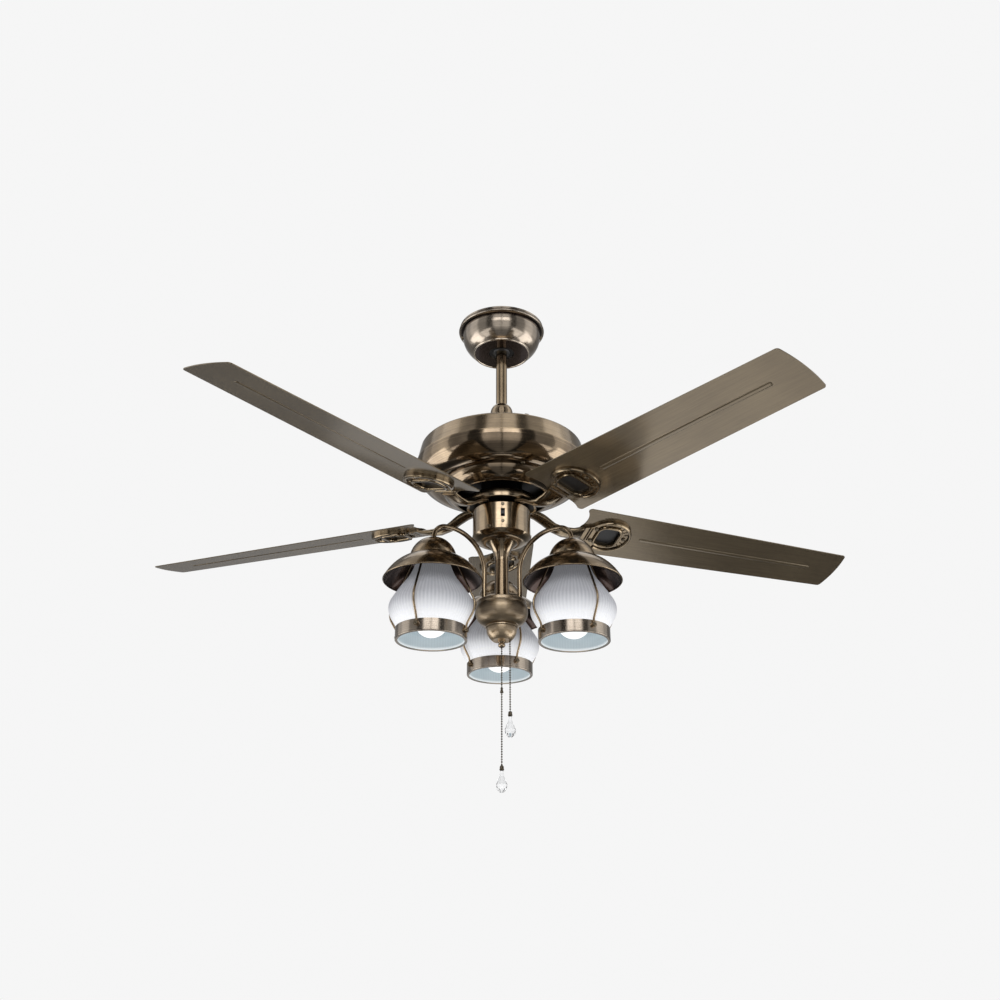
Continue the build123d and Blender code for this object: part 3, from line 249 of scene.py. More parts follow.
# Inner wall of the glass: a teal-grey painted reflection with painted flute shade, and a painted rim
# highlight
inner_wall_dark = (0.46, 0.55, 0.585, 1)
inner_wall_light = (0.50, 0.59, 0.625, 1)
inner_wall_lit = (0.42, 0.40, 0.39, 1)
frost_rough = 0.5
inner_wall_rough = 0.25
frost_clear = 0.1
glass_bend = 1.5
bulb_colour = (1.0, 0.99, 0.97, 1)
bulb_glow = 0.7


# Making meshes

def blade_angle(number):
    # How far round the Z axis a blade stands
    return math.radians(blade_phase + number * 360 / blade_count)


def blade_frame(number):
    turn = Matrix.Rotation(blade_angle(number), 4, "Z")
    droop = Matrix.Rotation(math.radians(blade_droop), 4, "Y")
    pitch = Matrix.Rotation(math.radians(blade_pitch), 4, "X")
    return turn @ Matrix.Translation((0, 0, blade_level)) @ droop @ pitch


def rounded(start, end, bulge, steps):
    # Points after start on the arc to end that stands out to the left of the way there by bulge
    if not bulge:
        return [end]
    along = (end - start).normalized()
    across = Vector((-along.y, along.x)) * math.copysign(1, bulge)
    half = (end - start).length / 2
    radius = (half * half + bulge * bulge) / (2 * abs(bulge))
    middle = (start + end) / 2 + across * (abs(bulge) - radius)
    spread = math.asin(min(1, half / radius))
    turns = [spread * (2 * step / steps - 1) for step in range(1, steps + 1)]
    return [middle + radius * (across * math.cos(turn) + along * math.sin(turn)) for turn in turns]


def outline_points(outline, steps):
    # An outline's corner is a radius, a height and, for an arc that ends there, its bulge, in millimetres
    points = [Vector(outline[0][:2])]
    for corner in outline[1:]:
        bulge = corner[2] if len(corner) == 3 else 0
        points += rounded(points[-1], Vector(corner[:2]), bulge, steps)
    return [point * mm for point in points]


def spun(points, steps, closed=False, marked=0):
    # A shell turned about the Z axis from points of radius and height. The first of them may be marked
    shell = bmesh.new()
    mark = shell.verts.layers.int.new("mark")
    corners = [shell.verts.new((point.x, 0, point.y)) for point in points]
    for corner in corners[:marked]:
        corner[mark] = 1
    sides = [shell.edges.new(pair) for pair in zip(corners, corners[1:])]
    if closed:
        sides.append(shell.edges.new((corners[-1], corners[0])))
    bmesh.ops.spin(
        shell, geom=corners + sides, cent=(0, 0, 0), axis=(0, 0, 1), angle=full_turn, steps=steps,
        use_merge=True,
    )
    bmesh.ops.remove_doubles(shell, verts=shell.verts, dist=weld)
    bmesh.ops.recalc_face_normals(shell, faces=shell.faces)
    return shell


def swept_bead(shell, start, heading, radius, moves, sides=relief_sides):
    # A round bead in the XY plane. A move is a turn in degrees and its radius, or 0 and a straight length
    ring = bmesh.ops.create_circle(shell, radius=radius, segments=sides)["verts"]
    bmesh.ops.rotate(shell, verts=ring, cent=(0, 0, 0), matrix=Matrix.Rotation(math.pi / 2, 3, "Y"))
    bmesh.ops.rotate(shell, verts=ring, cent=(0, 0, 0), matrix=Matrix.Rotation(heading, 3, "Z"))
    bmesh.ops.translate(shell, verts=ring, vec=start)
    place = Vector(start)
    edges = list({edge for vert in ring for edge in vert.link_edges})
    for turn, size in moves:
        ahead = Vector((math.cos(heading), math.sin(heading), 0))
        if turn:
            angle = math.radians(turn)
            inward = Vector((-ahead.y, ahead.x, 0)) * math.copysign(1, turn)
            middle = place + inward * size
            steps = max(least_steps, round(abs(turn) / degrees_a_step))
            grown = bmesh.ops.spin(
                shell, geom=ring + edges, cent=middle, axis=(0, 0, 1), angle=angle, steps=steps
            )["geom_last"]
            place = middle + Matrix.Rotation(angle, 3, "Z") @ (place - middle)
            heading += angle
        else:
            grown = bmesh.ops.extrude_edge_only(shell, edges=edges)["geom"]
            fresh = [part for part in grown if isinstance(part, bmesh.types.BMVert)]
            bmesh.ops.translate(shell, verts=fresh, vec=ahead * size)
            place += ahead * size
        ring = [part for part in grown if isinstance(part, bmesh.types.BMVert)]
        edges = [part for part in grown if isinstance(part, bmesh.types.BMEdge)]
        edges = [edge for edge in edges if all(vert in ring for vert in edge.verts)]
    bmesh.ops.remove_doubles(shell, verts=shell.verts, dist=weld)


def close_ends(shell):
    bmesh.ops.holes_fill(shell, edges=[edge for edge in shell.edges if edge.is_boundary])
    bmesh.ops.recalc_face_normals(shell, faces=shell.faces)


def finished(name, shell, body, materials, crease_angle=crease):
    # The piece that the shell makes, riding on its body. Marks on its points are dropped
    for mark in shell.verts.layers.int.values():
        shell.verts.layers.int.remove(mark)
    mesh = bpy.data.meshes.new(name)
    shell.to_mesh(mesh)
    shell.free()
    mesh.shade_smooth()
    mesh.set_sharp_from_angle(angle=math.radians(crease_angle))
    for material in materials:
        mesh.materials.append(material)
    piece = bpy.data.objects.new(name, mesh)
    bpy.context.collection.objects.link(piece)
    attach(piece, body)
    return piece


# Making materials

def add(tree, kind, inputs=None, **settings):
    # A node with its settings, and its inputs linked or set
    node = tree.nodes.new(kind)
    for name, value in settings.items():
        setattr(node, name, value)
    for key, value in (inputs or {}).items():
        if isinstance(value, bpy.types.NodeSocket):
            tree.links.new(value, node.inputs[key])
        else:
            node.inputs[key].default_value = value
    return node


def math_node(tree, operation, first, second=0.0):
    return add(tree, "ShaderNodeMath", {0: first, 1: second}, operation=operation).outputs[0]


def vector_node(tree, operation, inputs, output=0):
    return add(tree, "ShaderNodeVectorMath", inputs, operation=operation).outputs[output]


def mixed(tree, share, first, second):
    # The first colour where the share is 0, and the second where it is 1
    mix = add(tree, "ShaderNodeMix", {"Factor": share, 6: first, 7: second}, data_type="RGBA")
    return mix.outputs[2]


def spread_value(tree, value, low, high):
    # A value from 0 to 1, spread from low to high
    return add(tree, "ShaderNodeMapRange", {"Value": value, "To Min": low, "To Max": high}).outputs[0]


def new_group(name, inputs, outputs):
    # An empty group, with what it is given and what it gives
    tree = bpy.data.node_groups.new(name, "ShaderNodeTree")
    for label, kind in inputs:
        tree.interface.new_socket(label, in_out="INPUT", socket_type=kind)
    for label, kind in outputs:
        tree.interface.new_socket(label, in_out="OUTPUT", socket_type=kind)
    return tree, tree.nodes.new("NodeGroupInput").outputs, tree.nodes.new("NodeGroupOutput").inputs


def make_turning_marks():
    # Fine rings about the Z axis, as a lathe or a polishing belt leaves them, and slow clouds of patina
    tree, given, result = new_group(
        "turning_marks",
        [("Place", "NodeSocketVector"), ("Fineness", "NodeSocketFloat")],
        [("Marks", "NodeSocketFloat"), ("Patina", "NodeSocketFloat")],
    )
    part = add(tree, "ShaderNodeSeparateXYZ", {0: given["Place"]}).outputs
    flat = add(tree, "ShaderNodeCombineXYZ", {"X": part["X"], "Y": part["Y"]}).outputs[0]
    radius = vector_node(tree, "LENGTH", {0: flat}, "Value")
    out = math_node(tree, "MULTIPLY", radius, given["Fineness"])
    down = math_node(tree, "MULTIPLY", part["Z"], given["Fineness"])
    rings = add(tree, "ShaderNodeCombineXYZ", {"X": out, "Z": down}).outputs[0]
    grain = {"Vector": rings, "Scale": 1.0, "Detail": 4.0, "Roughness": 0.65}
    marks = add(tree, "ShaderNodeTexNoise", grain)
    cloud = add(tree, "ShaderNodeTexNoise", {"Vector": given["Place"], "Scale": 26.0, "Detail": 3.0})
    tree.links.new(marks.outputs[0], result["Marks"])
    tree.links.new(cloud.outputs[0], result["Patina"])
    return tree


def make_drawn_lines():
    # Fine lines along the X axis, as on drawn tube and brushed sheet, and slow clouds of patina
    tree, given, result = new_group(
        "drawn_lines",
        [("Place", "NodeSocketVector"), ("Fineness", "NodeSocketFloat")],
        [("Marks", "NodeSocketFloat"), ("Patina", "NodeSocketFloat")],
    )
    stretched = vector_node(tree, "MULTIPLY", {0: given["Place"], 1: line_stretch})
    lines = vector_node(tree, "SCALE", {0: stretched, "Scale": given["Fineness"]})
    marks = add(tree, "ShaderNodeTexNoise", {"Vector": lines, "Scale": 1.0, "Detail": 4.0})
    cloud = add(tree, "ShaderNodeTexNoise", {"Vector": given["Place"], "Scale": 9.0, "Detail": 3.0})
    tree.links.new(marks.outputs[0], result["Marks"])
    tree.links.new(cloud.outputs[0], result["Patina"])
    return tree


def make_aged_tint():
    # A colour between dark and light that follows the marks and the patina
    tree, given, result = new_group(
        "aged_tint",
        [
            ("Dark", "NodeSocketColor"), ("Light", "NodeSocketColor"), ("Marks", "NodeSocketFloat"),
            ("Patina", "NodeSocketFloat"), ("Balance", "NodeSocketFloat"),
        ],
        [("Color", "NodeSocketColor")],
    )
    marks = math_node(tree, "SUBTRACT", given["Marks"], noise_middle)
    marks = math_node(tree, "MULTIPLY", marks, marks_share)
    patina = math_node(tree, "SUBTRACT", given["Patina"], noise_middle)
    patina = math_node(tree, "MULTIPLY", patina, patina_share)
    share = math_node(tree, "ADD", math_node(tree, "ADD", marks, patina), given["Balance"])
    tree.links.new(mixed(tree, share, given["Dark"], given["Light"]), result["Color"])
    return tree


def make_inner_face():
    # 1 on faces that look towards the Z axis, as inside a hood, where shade is painted, and 0 outside
    tree, given, result = new_group(
        "inner_face",
        [("Place", "NodeSocketVector"), ("Facing", "NodeSocketVector")],
        [("Inside", "NodeSocketFloat")],
    )
    flat = vector_node(tree, "MULTIPLY", {0: given["Place"], 1: (1, 1, 0)})
    away = vector_node(tree, "NORMALIZE", {0: flat})
    turned = vector_node(tree, "DOT_PRODUCT", {0: away, 1: given["Facing"]}, "Value")
    inside = math_node(tree, "LESS_THAN", turned, inside_below)
    tree.links.new(inside, result["Inside"])
    return tree


def make_underside():
    # 1 on faces that look straight down within reach of the Z axis, and in a level groove, where shade is
    # painted
    tree, given, result = new_group(
        "underside",
        [
            ("Place", "NodeSocketVector"), ("Facing", "NodeSocketVector"), ("Reach", "NodeSocketFloat"),
            ("Groove", "NodeSocketFloat"), ("Groove Half", "NodeSocketFloat"),
        ],
        [("Under", "NodeSocketFloat")],
    )
    flat = vector_node(tree, "MULTIPLY", {0: given["Place"], 1: (1, 1, 0)})
    radius = vector_node(tree, "LENGTH", {0: flat}, "Value")
    near = math_node(tree, "LESS_THAN", radius, given["Reach"])
    part = add(tree, "ShaderNodeSeparateXYZ", {0: given["Facing"]}).outputs
    down = math_node(tree, "LESS_THAN", part["Z"], downward_below)
    level = add(tree, "ShaderNodeSeparateXYZ", {0: given["Place"]}).outputs["Z"]
    off = math_node(tree, "ABSOLUTE", math_node(tree, "SUBTRACT", level, given["Groove"]))
    groove = math_node(tree, "LESS_THAN", off, given["Groove Half"])
    under = math_node(tree, "MULTIPLY", near, down)
    tree.links.new(math_node(tree, "MAXIMUM", under, groove), result["Under"])
    return tree


def make_fluted_glow():
    # 1 in the valley of each upright flute round the Z axis, for painted shade, and a painted glow that
    # grows down to the foot
    tree, given, result = new_group(
        "fluted_glow",
        [
            ("Place", "NodeSocketVector"), ("Flutes", "NodeSocketFloat"), ("Top", "NodeSocketFloat"),
            ("Foot", "NodeSocketFloat"),
        ],
        [("Valley", "NodeSocketFloat"), ("Glow", "NodeSocketFloat")],
    )
    part = add(tree, "ShaderNodeSeparateXYZ", {0: given["Place"]}).outputs
    angle = math_node(tree, "ARCTAN2", part["Y"], part["X"])
    wave = math_node(tree, "COSINE", math_node(tree, "MULTIPLY", angle, given["Flutes"]))
    valley = math_node(tree, "SUBTRACT", 0.5, math_node(tree, "MULTIPLY", wave, 0.5))
    drop = {"Value": part["Z"], "From Min": given["Top"], "From Max": given["Foot"]}
    glow = add(tree, "ShaderNodeMapRange", drop, interpolation_type="SMOOTHSTEP").outputs[0]
    tree.links.new(valley, result["Valley"])
    tree.links.new(glow, result["Glow"])
    return tree


turning_marks = make_turning_marks()
drawn_lines = make_drawn_lines()
aged_tint = make_aged_tint()
inner_face = make_inner_face()
underside = make_underside()
fluted_glow = make_fluted_glow()


def new_material(name):
    material = bpy.data.materials.new(name)
    material.use_nodes = True
    tree = material.node_tree
    return material, tree, tree.nodes["Principled BSDF"]


def local_place(tree, centre=(0, 0, 0), turn=(0, 0, 0)):
    # Object coordinates about a piece's own middle, turned so that X runs along it
    coordinates = add(tree, "ShaderNodeTexCoord")
    mapping = {"Vector": coordinates.outputs["Object"], "Location": centre, "Rotation": turn}
    place = add(tree, "ShaderNodeMapping", mapping, vector_type="TEXTURE").outputs[0]
    return place, coordinates.outputs["Normal"]


def add_bump(tree, shader, height, distance):
    bump = add(tree, "ShaderNodeBump", {"Height": height, "Distance": distance, "Strength": 1.0})
    tree.links.new(bump.outputs[0], shader.inputs["Normal"])


def aged_metal(name, pattern, fineness, dark, light, balance, rough, centre=(0, 0, 0), turn=(0, 0, 0),
               brushed=0.0, coat=0.0, metal=1.0):
    # Bronze with a worked grain: the marks shade its colour and its gloss and stand in fine relief
    material, tree, shader = new_material(name)
    place, facing = local_place(tree, centre, turn)
    grain = add(tree, "ShaderNodeGroup", node_tree=pattern)
    tree.links.new(place, grain.inputs["Place"])
    grain.inputs["Fineness"].default_value = fineness
    tint = add(tree, "ShaderNodeGroup", node_tree=aged_tint)
    tree.links.new(grain.outputs["Marks"], tint.inputs["Marks"])
    tree.links.new(grain.outputs["Patina"], tint.inputs["Patina"])
    tint.inputs["Dark"].default_value = dark
    tint.inputs["Light"].default_value = light
    tint.inputs["Balance"].default_value = balance
    tree.links.new(tint.outputs["Color"], shader.inputs["Base Color"])
    tree.links.new(spread_value(tree, grain.outputs["Marks"], *rough), shader.inputs["Roughness"])
    shader.inputs["Metallic"].default_value = metal
    shader.inputs["Anisotropic"].default_value = brushed
    shader.inputs["Coat Weight"].default_value = coat
    shader.inputs["Coat Roughness"].default_value = lacquer_rough
    add_bump(tree, shader, grain.outputs["Marks"], metal_relief)
    return material, tree, shader, place, facing


def turned_bronze(name, balance, rough, brushed, dark=bronze_dark, light=bronze_light, centre=(0, 0, 0)):
    return aged_metal(
        name, turning_marks, turned_fineness, dark, light, balance, rough, centre, brushed=brushed,
        coat=lacquer,
    )[0]


def darken(tree, shader, mask):
    # The unlit colour where the mask is 1
    outer_colour = shader.inputs["Base Color"].links[0].from_socket
    tree.links.new(mixed(tree, mask, outer_colour, unlit_inside), shader.inputs["Base Color"])


def hood_bronze(name, centre):
    # Turned bronze outside, and painted shade inside: the unlit colour where faces look towards the axis
    material, tree, shader, place, facing = aged_metal(
        name, turning_marks, turned_fineness, bronze_dark, bronze_light, balance=0.45, rough=(0.14, 0.24),
        centre=centre, brushed=0.3, coat=hood_lacquer,
    )
    inside = add(tree, "ShaderNodeGroup", node_tree=inner_face)
    tree.links.new(place, inside.inputs["Place"])
    tree.links.new(facing, inside.inputs["Facing"])
    darken(tree, shader, inside.outputs["Inside"])
    return material


def canopy_bronze(name):
    # Turned bronze with painted shade on its flat underside and in its groove
    material, tree, shader, place, facing = aged_metal(
        name, turning_marks, turned_fineness, pale_dark, pale_light, balance=0.5, rough=(0.14, 0.24),
        brushed=0.3, coat=lacquer,
    )
    under = add(tree, "ShaderNodeGroup", node_tree=underside)
    tree.links.new(place, under.inputs["Place"])
    tree.links.new(facing, under.inputs["Facing"])
    under.inputs["Reach"].default_value = roll_middle
    under.inputs["Groove"].default_value = groove_level
    under.inputs["Groove Half"].default_value = groove_half
    darken(tree, shader, under.outputs["Under"])
    return material


def drawn_bronze(name, balance, rough):
    # Drawn from end to end of an upright piece
    upright = (0, math.pi / 2, 0)
    return aged_metal(
        name, drawn_lines, drawn_fineness, bronze_dark, bronze_light, balance, rough, turn=upright
    )[0]


def cast_bronze(name):
    return aged_metal(
        name, turning_marks, cast_fineness, cast_dark, cast_light, balance=0.5, rough=(0.12, 0.26),
        coat=lacquer,
    )[0]


def blade_sheet(number):
    # Satin sheet, brushed from root to tip
    return aged_metal(
        f"blade_sheet_{number + 1}", drawn_lines, blade_fineness, blade_dark, blade_light, balance=0.5,
        rough=(0.14, 0.22), turn=(0, 0, blade_angle(number)), metal=0.5,
    )[0]


def plain_metal(name, dark, light, rough):
    return aged_metal(name, turning_marks, plain_fineness, dark, light, balance=0.5, rough=rough)[0]


def moulded(name, dark, light, rough):
    # Moulded plastic or enamel with a faint grain
    material, tree, shader = new_material(name)
    place, _ = local_place(tree)
    grain = add(tree, "ShaderNodeTexNoise", {"Vector": place, "Scale": 420.0, "Detail": 2.0}).outputs[0]
    tree.links.new(mixed(tree, grain, dark, light), shader.inputs["Base Color"])
    tree.links.new(spread_value(tree, grain, *rough), shader.inputs["Roughness"])
    add_bump(tree, shader, grain, moulded_relief)
    return material, shader


def clear_drop(name):
    material, shader = moulded(name, (0.94, 0.95, 0.96, 1), (1.0, 1.0, 1.0, 1), (0.0, 0.02))
    shader.inputs["Transmission Weight"].default_value = 1.0
    shader.inputs["IOR"].default_value = glass_bend
    return material


def shade_glass(name, centre, dark, light, glowing, span, rough):
    # Frosted glass, with painted shade in its flutes and a painted glow that brightens it towards its foot
    material, tree, shader = new_material(name)
    place, _ = local_place(tree, centre)
    lit = add(tree, "ShaderNodeGroup", node_tree=fluted_glow)
    tree.links.new(place, lit.inputs["Place"])
    lit.inputs["Flutes"].default_value = glass_flutes
    lit.inputs["Top"].default_value = span[0]
    lit.inputs["Foot"].default_value = span[1]
    evened = math_node(tree, "MULTIPLY", lit.outputs["Glow"], glow_evens)
    unlit = math_node(tree, "SUBTRACT", 1.0, evened)
    shaded = math_node(tree, "MULTIPLY", lit.outputs["Valley"], unlit)
    tree.links.new(mixed(tree, shaded, light, dark), shader.inputs["Base Color"])
    glow = mixed(tree, lit.outputs["Glow"], glow_least, glowing)
    tree.links.new(glow, shader.inputs["Emission Color"])
    shader.inputs["Emission Strength"].default_value = 1.0
    shader.inputs["Roughness"].default_value = rough
    shader.inputs["Transmission Weight"].default_value = frost_clear
    shader.inputs["IOR"].default_value = glass_bend
    return material


# Camera, light and floor

def make_camera():
    lens = bpy.data.cameras.new("camera")
    lens.lens = camera_lens
    lens.sensor_width = sensor_width
    camera = bpy.data.objects.new("camera", lens)
    camera.location = camera_place
    camera.rotation_euler = (math.radians(90 + camera_pitch), 0, math.radians(camera_yaw))
    bpy.context.collection.objects.link(camera)
    bpy.context.scene.camera = camera


def seen_rays(tree):
    # 1 where the camera looks, straight or by way of metal and glass
    path = add(tree, "ShaderNodeLightPath").outputs
    seen = math_node(tree, "MAXIMUM", path["Is Camera Ray"], path["Is Glossy Ray"])
    return math_node(tree, "MAXIMUM", seen, path["Is Transmission Ray"])


def make_world():
    # Near white where the camera, metal and glass see it, and a plain room light on everything else
    world = bpy.data.worlds.new("studio")
    world.use_nodes = True
    tree = world.node_tree
    tree.nodes.clear()
    tone = (backdrop_tone, backdrop_tone, backdrop_tone, 1)
    strength = spread_value(tree, seen_rays(tree), room_light, 1.0)
    sky = add(tree, "ShaderNodeBackground", {"Color": tone, "Strength": strength})
    add(tree, "ShaderNodeOutputWorld", {"Surface": sky.outputs[0]})
    bpy.context.scene.world = world
    bpy.context.scene.view_settings.view_transform = "Standard"


def make_softbox(name, azimuth, distance, height, width, tall, power):
    # A soft panel light that looks at the studio's middle. Its azimuth is 0 on the camera's side, and grows
    # to the right
    light = bpy.data.lights.new(name, "AREA")
    light.shape = "RECTANGLE"
    light.size = width
    light.size_y = tall
    light.energy = power
    lamp = bpy.data.objects.new(name, light)
    side = math.radians(azimuth)
    lamp.location = (distance * math.sin(side), -distance * math.cos(side), height)
    lamp.rotation_euler = (studio_middle - lamp.location).to_track_quat("-Z", "Y").to_euler()
    lamp.visible_glossy = False
    bpy.context.collection.objects.link(lamp)


def make_stage_mesh(name, shell):
    # A part of the studio, with the shader of its own material
    mesh = bpy.data.meshes.new(name)
    shell.to_mesh(mesh)
    shell.free()
    material, _, shader = new_material(name)
    mesh.materials.append(material)
    staged = bpy.data.objects.new(name, mesh)
    bpy.context.collection.objects.link(staged)
    return staged, shader


def make_floor():
    shell = bmesh.new()
    bmesh.ops.create_circle(shell, cap_ends=True, radius=floor_radius, segments=floor_sides)
    bmesh.ops.translate(shell, verts=shell.verts, vec=(0, 0, floor_level))
    floor, shader = make_stage_mesh("floor", shell)
    floor.visible_glossy = False
    shader.inputs["Base Color"].default_value = floor_grey
    shader.inputs["Roughness"].default_value = floor_rough
    shader.inputs["Emission Color"].default_value = (1, 1, 1, 1)
    tree = shader.id_data
    glow = math_node(tree, "MULTIPLY", seen_rays(tree), floor_glow)
    tree.links.new(glow, shader.inputs["Emission Strength"])


def make_panel(name, start, end, tone, span, reach, foot_tone, sides=both_sides):
    # A curved panel on each of its sides, fading down to its foot. Only metal and glass show it
    shell = bmesh.new()
    shares = [step / panel_steps for step in range(panel_steps + 1)]
    rises = [math.radians(span[0] + (span[1] - span[0]) * share) for share in shares]
    for side in sides:
        turn = Matrix.Rotation(math.radians(side * start - 90), 3, "Z")
        places = [turn @ Vector((reach * math.cos(rise), 0, reach * math.sin(rise))) for rise in rises]
        corners = [shell.verts.new(studio_middle + place) for place in places]
        edges = [shell.edges.new(pair) for pair in zip(corners, corners[1:])]
        angle = math.radians(side * (end - start))
        bmesh.ops.spin(
            shell, geom=corners + edges, cent=(0, 0, 0), axis=(0, 0, 1), angle=angle, steps=panel_steps
        )
    panel, shader = make_stage_mesh(name, shell)
    shader.inputs["Base Color"].default_value = (0, 0, 0, 1)
    shader.inputs["Roughness"].default_value = 1.0
    tree = shader.id_data
    place, _ = local_place(tree)
    part = add(tree, "ShaderNodeSeparateXYZ", {0: place}).outputs
    climb = {"Value": part["Z"], "From Min": panel_fade[0], "From Max": panel_fade[1], "To Min": foot_tone}
    fade = add(tree, "ShaderNodeMapRange", climb, interpolation_type="SMOOTHSTEP").outputs[0]
    grey = add(tree, "ShaderNodeCombineXYZ", {"X": fade, "Y": fade, "Z": fade}).outputs[0]
    tree.links.new(grey, shader.inputs["Emission Color"])
    shader.inputs["Emission Strength"].default_value = tone
    panel.visible_camera = False
    panel.visible_diffuse = False
    panel.visible_transmission = False
    panel.visible_shadow = False


make_camera()
make_world()
make_floor()
for number, (start, end, tone) in enumerate(panels, 1):
    make_panel(f"panel_{number}", start, end, tone, panel_rise, studio_radius, panel_foot_tone)
for name, (start, end, tone, span, sides) in near_panels.items():
    make_panel(name, start, end, tone, span, near_radius, near_foot_tone, sides)
for name, settings in softboxes.items():
    make_softbox(name, *settings)

# Materials of this fan
lantern_middles = []
for number in range(1, 4):
    low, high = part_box(f"shade_ring_{number}")
    lantern_middles.append(Vector(((low.x + high.x) / 2, (low.y + high.y) / 2, 0)))

satin_bronze = turned_bronze("satin_bronze", balance=0.7, rough=(0.30, 0.42), brushed=0.4)
polished_bronze = turned_bronze("polished_bronze", balance=0.28, rough=(0.09, 0.17), brushed=0.0)
# The canopy's pale bronze, polished, made lighter on its rolled bead as a painted highlight
bead_bronze = turned_bronze("bead_bronze", 0.9, (0.10, 0.18), 0.0, dark=pale_dark, light=pale_light)
brushed_bronze = turned_bronze("brushed_bronze", balance=0.55, rough=(0.12, 0.22), brushed=0.35)
rod_bronze = drawn_bronze("rod_bronze", balance=0.45, rough=(0.14, 0.26))
post_bronze = drawn_bronze("post_bronze", balance=0.25, rough=(0.14, 0.26))
wire_bronze = drawn_bronze("wire_bronze", balance=0.55, rough=(0.16, 0.3))
iron_bronze = cast_bronze("iron_bronze")
screw_bronze = plain_metal("screw_bronze", (0.05, 0.04, 0.03, 1), (0.3, 0.25, 0.18, 1), (0.2, 0.4))
chain_bronze = plain_metal("chain_bronze", (0.03, 0.025, 0.02, 1), (0.17, 0.14, 0.10, 1), (0.18, 0.32))
bare_steel = plain_metal("bare_steel", (0.22, 0.22, 0.22, 1), (0.55, 0.55, 0.54, 1), (0.3, 0.5))
black_zinc = plain_metal("black_zinc", (0.010, 0.010, 0.011, 1), (0.035, 0.033, 0.032, 1), (0.35, 0.55))
copper_wire = plain_metal("copper_wire", (0.32, 0.12, 0.05, 1), (0.72, 0.32, 0.16, 1), (0.25, 0.45))
black_plastic = moulded("black_plastic", (0.008, 0.008, 0.009, 1), (0.022, 0.021, 0.022, 1), (0.35, 0.5))[0]
white_plastic = moulded("white_plastic", (0.74, 0.74, 0.72, 1), (0.84, 0.84, 0.82, 1), (0.3, 0.45))[0]
bulb_white, bulb_shader = moulded("bulb_white", (0.86, 0.86, 0.86, 1), (0.92, 0.92, 0.92, 1), (0.3, 0.4))
bulb_shader.inputs["Emission Color"].default_value = bulb_colour
bulb_shader.inputs["Emission Strength"].default_value = bulb_glow
clear_glass = clear_drop("clear_glass")

node_finish = {
    "canopy": canopy_bronze("canopy_bronze"),
    "canopy_screws": screw_bronze,
    "hanger_bracket": black_zinc,
    "hanger_ball": black_plastic,
    "rod_pins": bare_steel,
    "downrod": rod_bronze,
    "coupling_cover": brushed_bronze,
    "motor_shaft": bare_steel,
    "stator_core": bare_steel,
    "stator_windings": copper_wire,
    "upper_housing": brushed_bronze,
    "lower_housing": polished_bronze,
    "lower_dish": polished_bronze,
    "housing_screws": screw_bronze,
    "bearing_inner_sets": bare_steel,
    "bearing_outer_rings": bare_steel,
    "rotor_shell": black_zinc,
    "flywheel": black_zinc,
    "hub_ring": brushed_bronze,
    "blade_screws": screw_bronze,
    "switch_plate": black_zinc,
    "switch_housing": brushed_bronze,
    "reverse_switch_body": black_plastic,
    "reverse_switch_knob": black_plastic,
    "capacitor": black_plastic,
    "fitter_cap": brushed_bronze,
    "center_post": post_bronze,
    "arm_bowl": satin_bronze,
    "finial": brushed_bronze,
    "pull_switches": black_plastic,
    "lampholders": white_plastic,
    "bulbs": bulb_white,
    "guard_wires": wire_bronze,
    "guard_screws": screw_bronze,
}
for number in range(blade_count):
    node_finish[f"blade_iron_{number + 1}"] = iron_bronze
    node_finish[f"blade_{number + 1}"] = blade_sheet(number)
for number, middle in enumerate(lantern_middles, 1):
    node_finish[f"arm_{number}"] = rod_bronze
    node_finish[f"hood_{number}"] = hood_bronze(f"hood_bronze_{number}", middle)
    node_finish[f"shade_ring_{number}"] = turned_bronze(
        f"ring_bronze_{number}", 0.5, (0.12, 0.22), 0.35, dark=pale_dark, light=pale_light, centre=middle
    )
for node, finish in node_finish.items():
    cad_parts[node].data.materials[0] = finish


# Canopy bead

def make_canopy_bead():
    turns = [full_turn * step / roll_sides for step in range(roll_sides)]
    centre = Vector((roll_middle, roll_level))
    points = [centre + roll_round * Vector((math.cos(turn), math.sin(turn))) for turn in turns]
    shell = spun(points, roll_steps, closed=True)
    finished("canopy_bead", shell, "ceiling_mount", [bead_bronze])


make_canopy_bead()


# Pull chains

def route_points(name, route):
    # Points along the smooth line of a hanging chain
    curve = bpy.data.curves.new(name, "CURVE")
    curve.dimensions = "3D"
    spline = curve.splines.new("NURBS")
    spline.points.add(len(route) - 1)
    for point, place in zip(spline.points, route):
        point.co = (*place, 1)
    spline.order_u = 3
    spline.use_endpoint_u = True
    holder = bpy.data.objects.new(name, curve)
    bpy.context.collection.objects.link(holder)
    line = bpy.data.meshes.new_from_object(holder)
    points = [vertex.co.copy() for vertex in line.vertices]
    bpy.data.objects.remove(holder)
    return points


def stepped(points, pitch):
    # Places a pitch apart along the points
    places = [points[0]]
    ahead = pitch
    for start, end in zip(points, points[1:]):
        run = end - start
        done = 0.0
        while run.length - done >= ahead:
            done += ahead
            places.append(start + run.normalized() * done)
            ahead = pitch
        ahead -= run.length - done
    return places


def make_bead_chain(name, points, body, node):
    # Round beads along the points, with a thin link from each to the next
    shell = bmesh.new()
    beads = stepped(points, bead_pitch)
    for bead in beads:
        place = Matrix.Translation(bead)
        bmesh.ops.create_uvsphere(
            shell, u_segments=bead_segments, v_segments=bead_rings, radius=bead_radius, matrix=place
        )
    for upper, lower in zip(beads, beads[1:] + points[-1:]):
        run = lower - upper
        turn = run.to_track_quat("Z", "Y").to_matrix().to_4x4()
        place = Matrix.Translation((upper + lower) / 2) @ turn
        bmesh.ops.create_cone(
            shell, segments=link_sides, radius1=link_radius, radius2=link_radius, depth=run.length,
            matrix=place,
        )
    chain = finished(name, shell, body, [chain_bronze], soft_crease)
    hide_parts(node)
    return chain


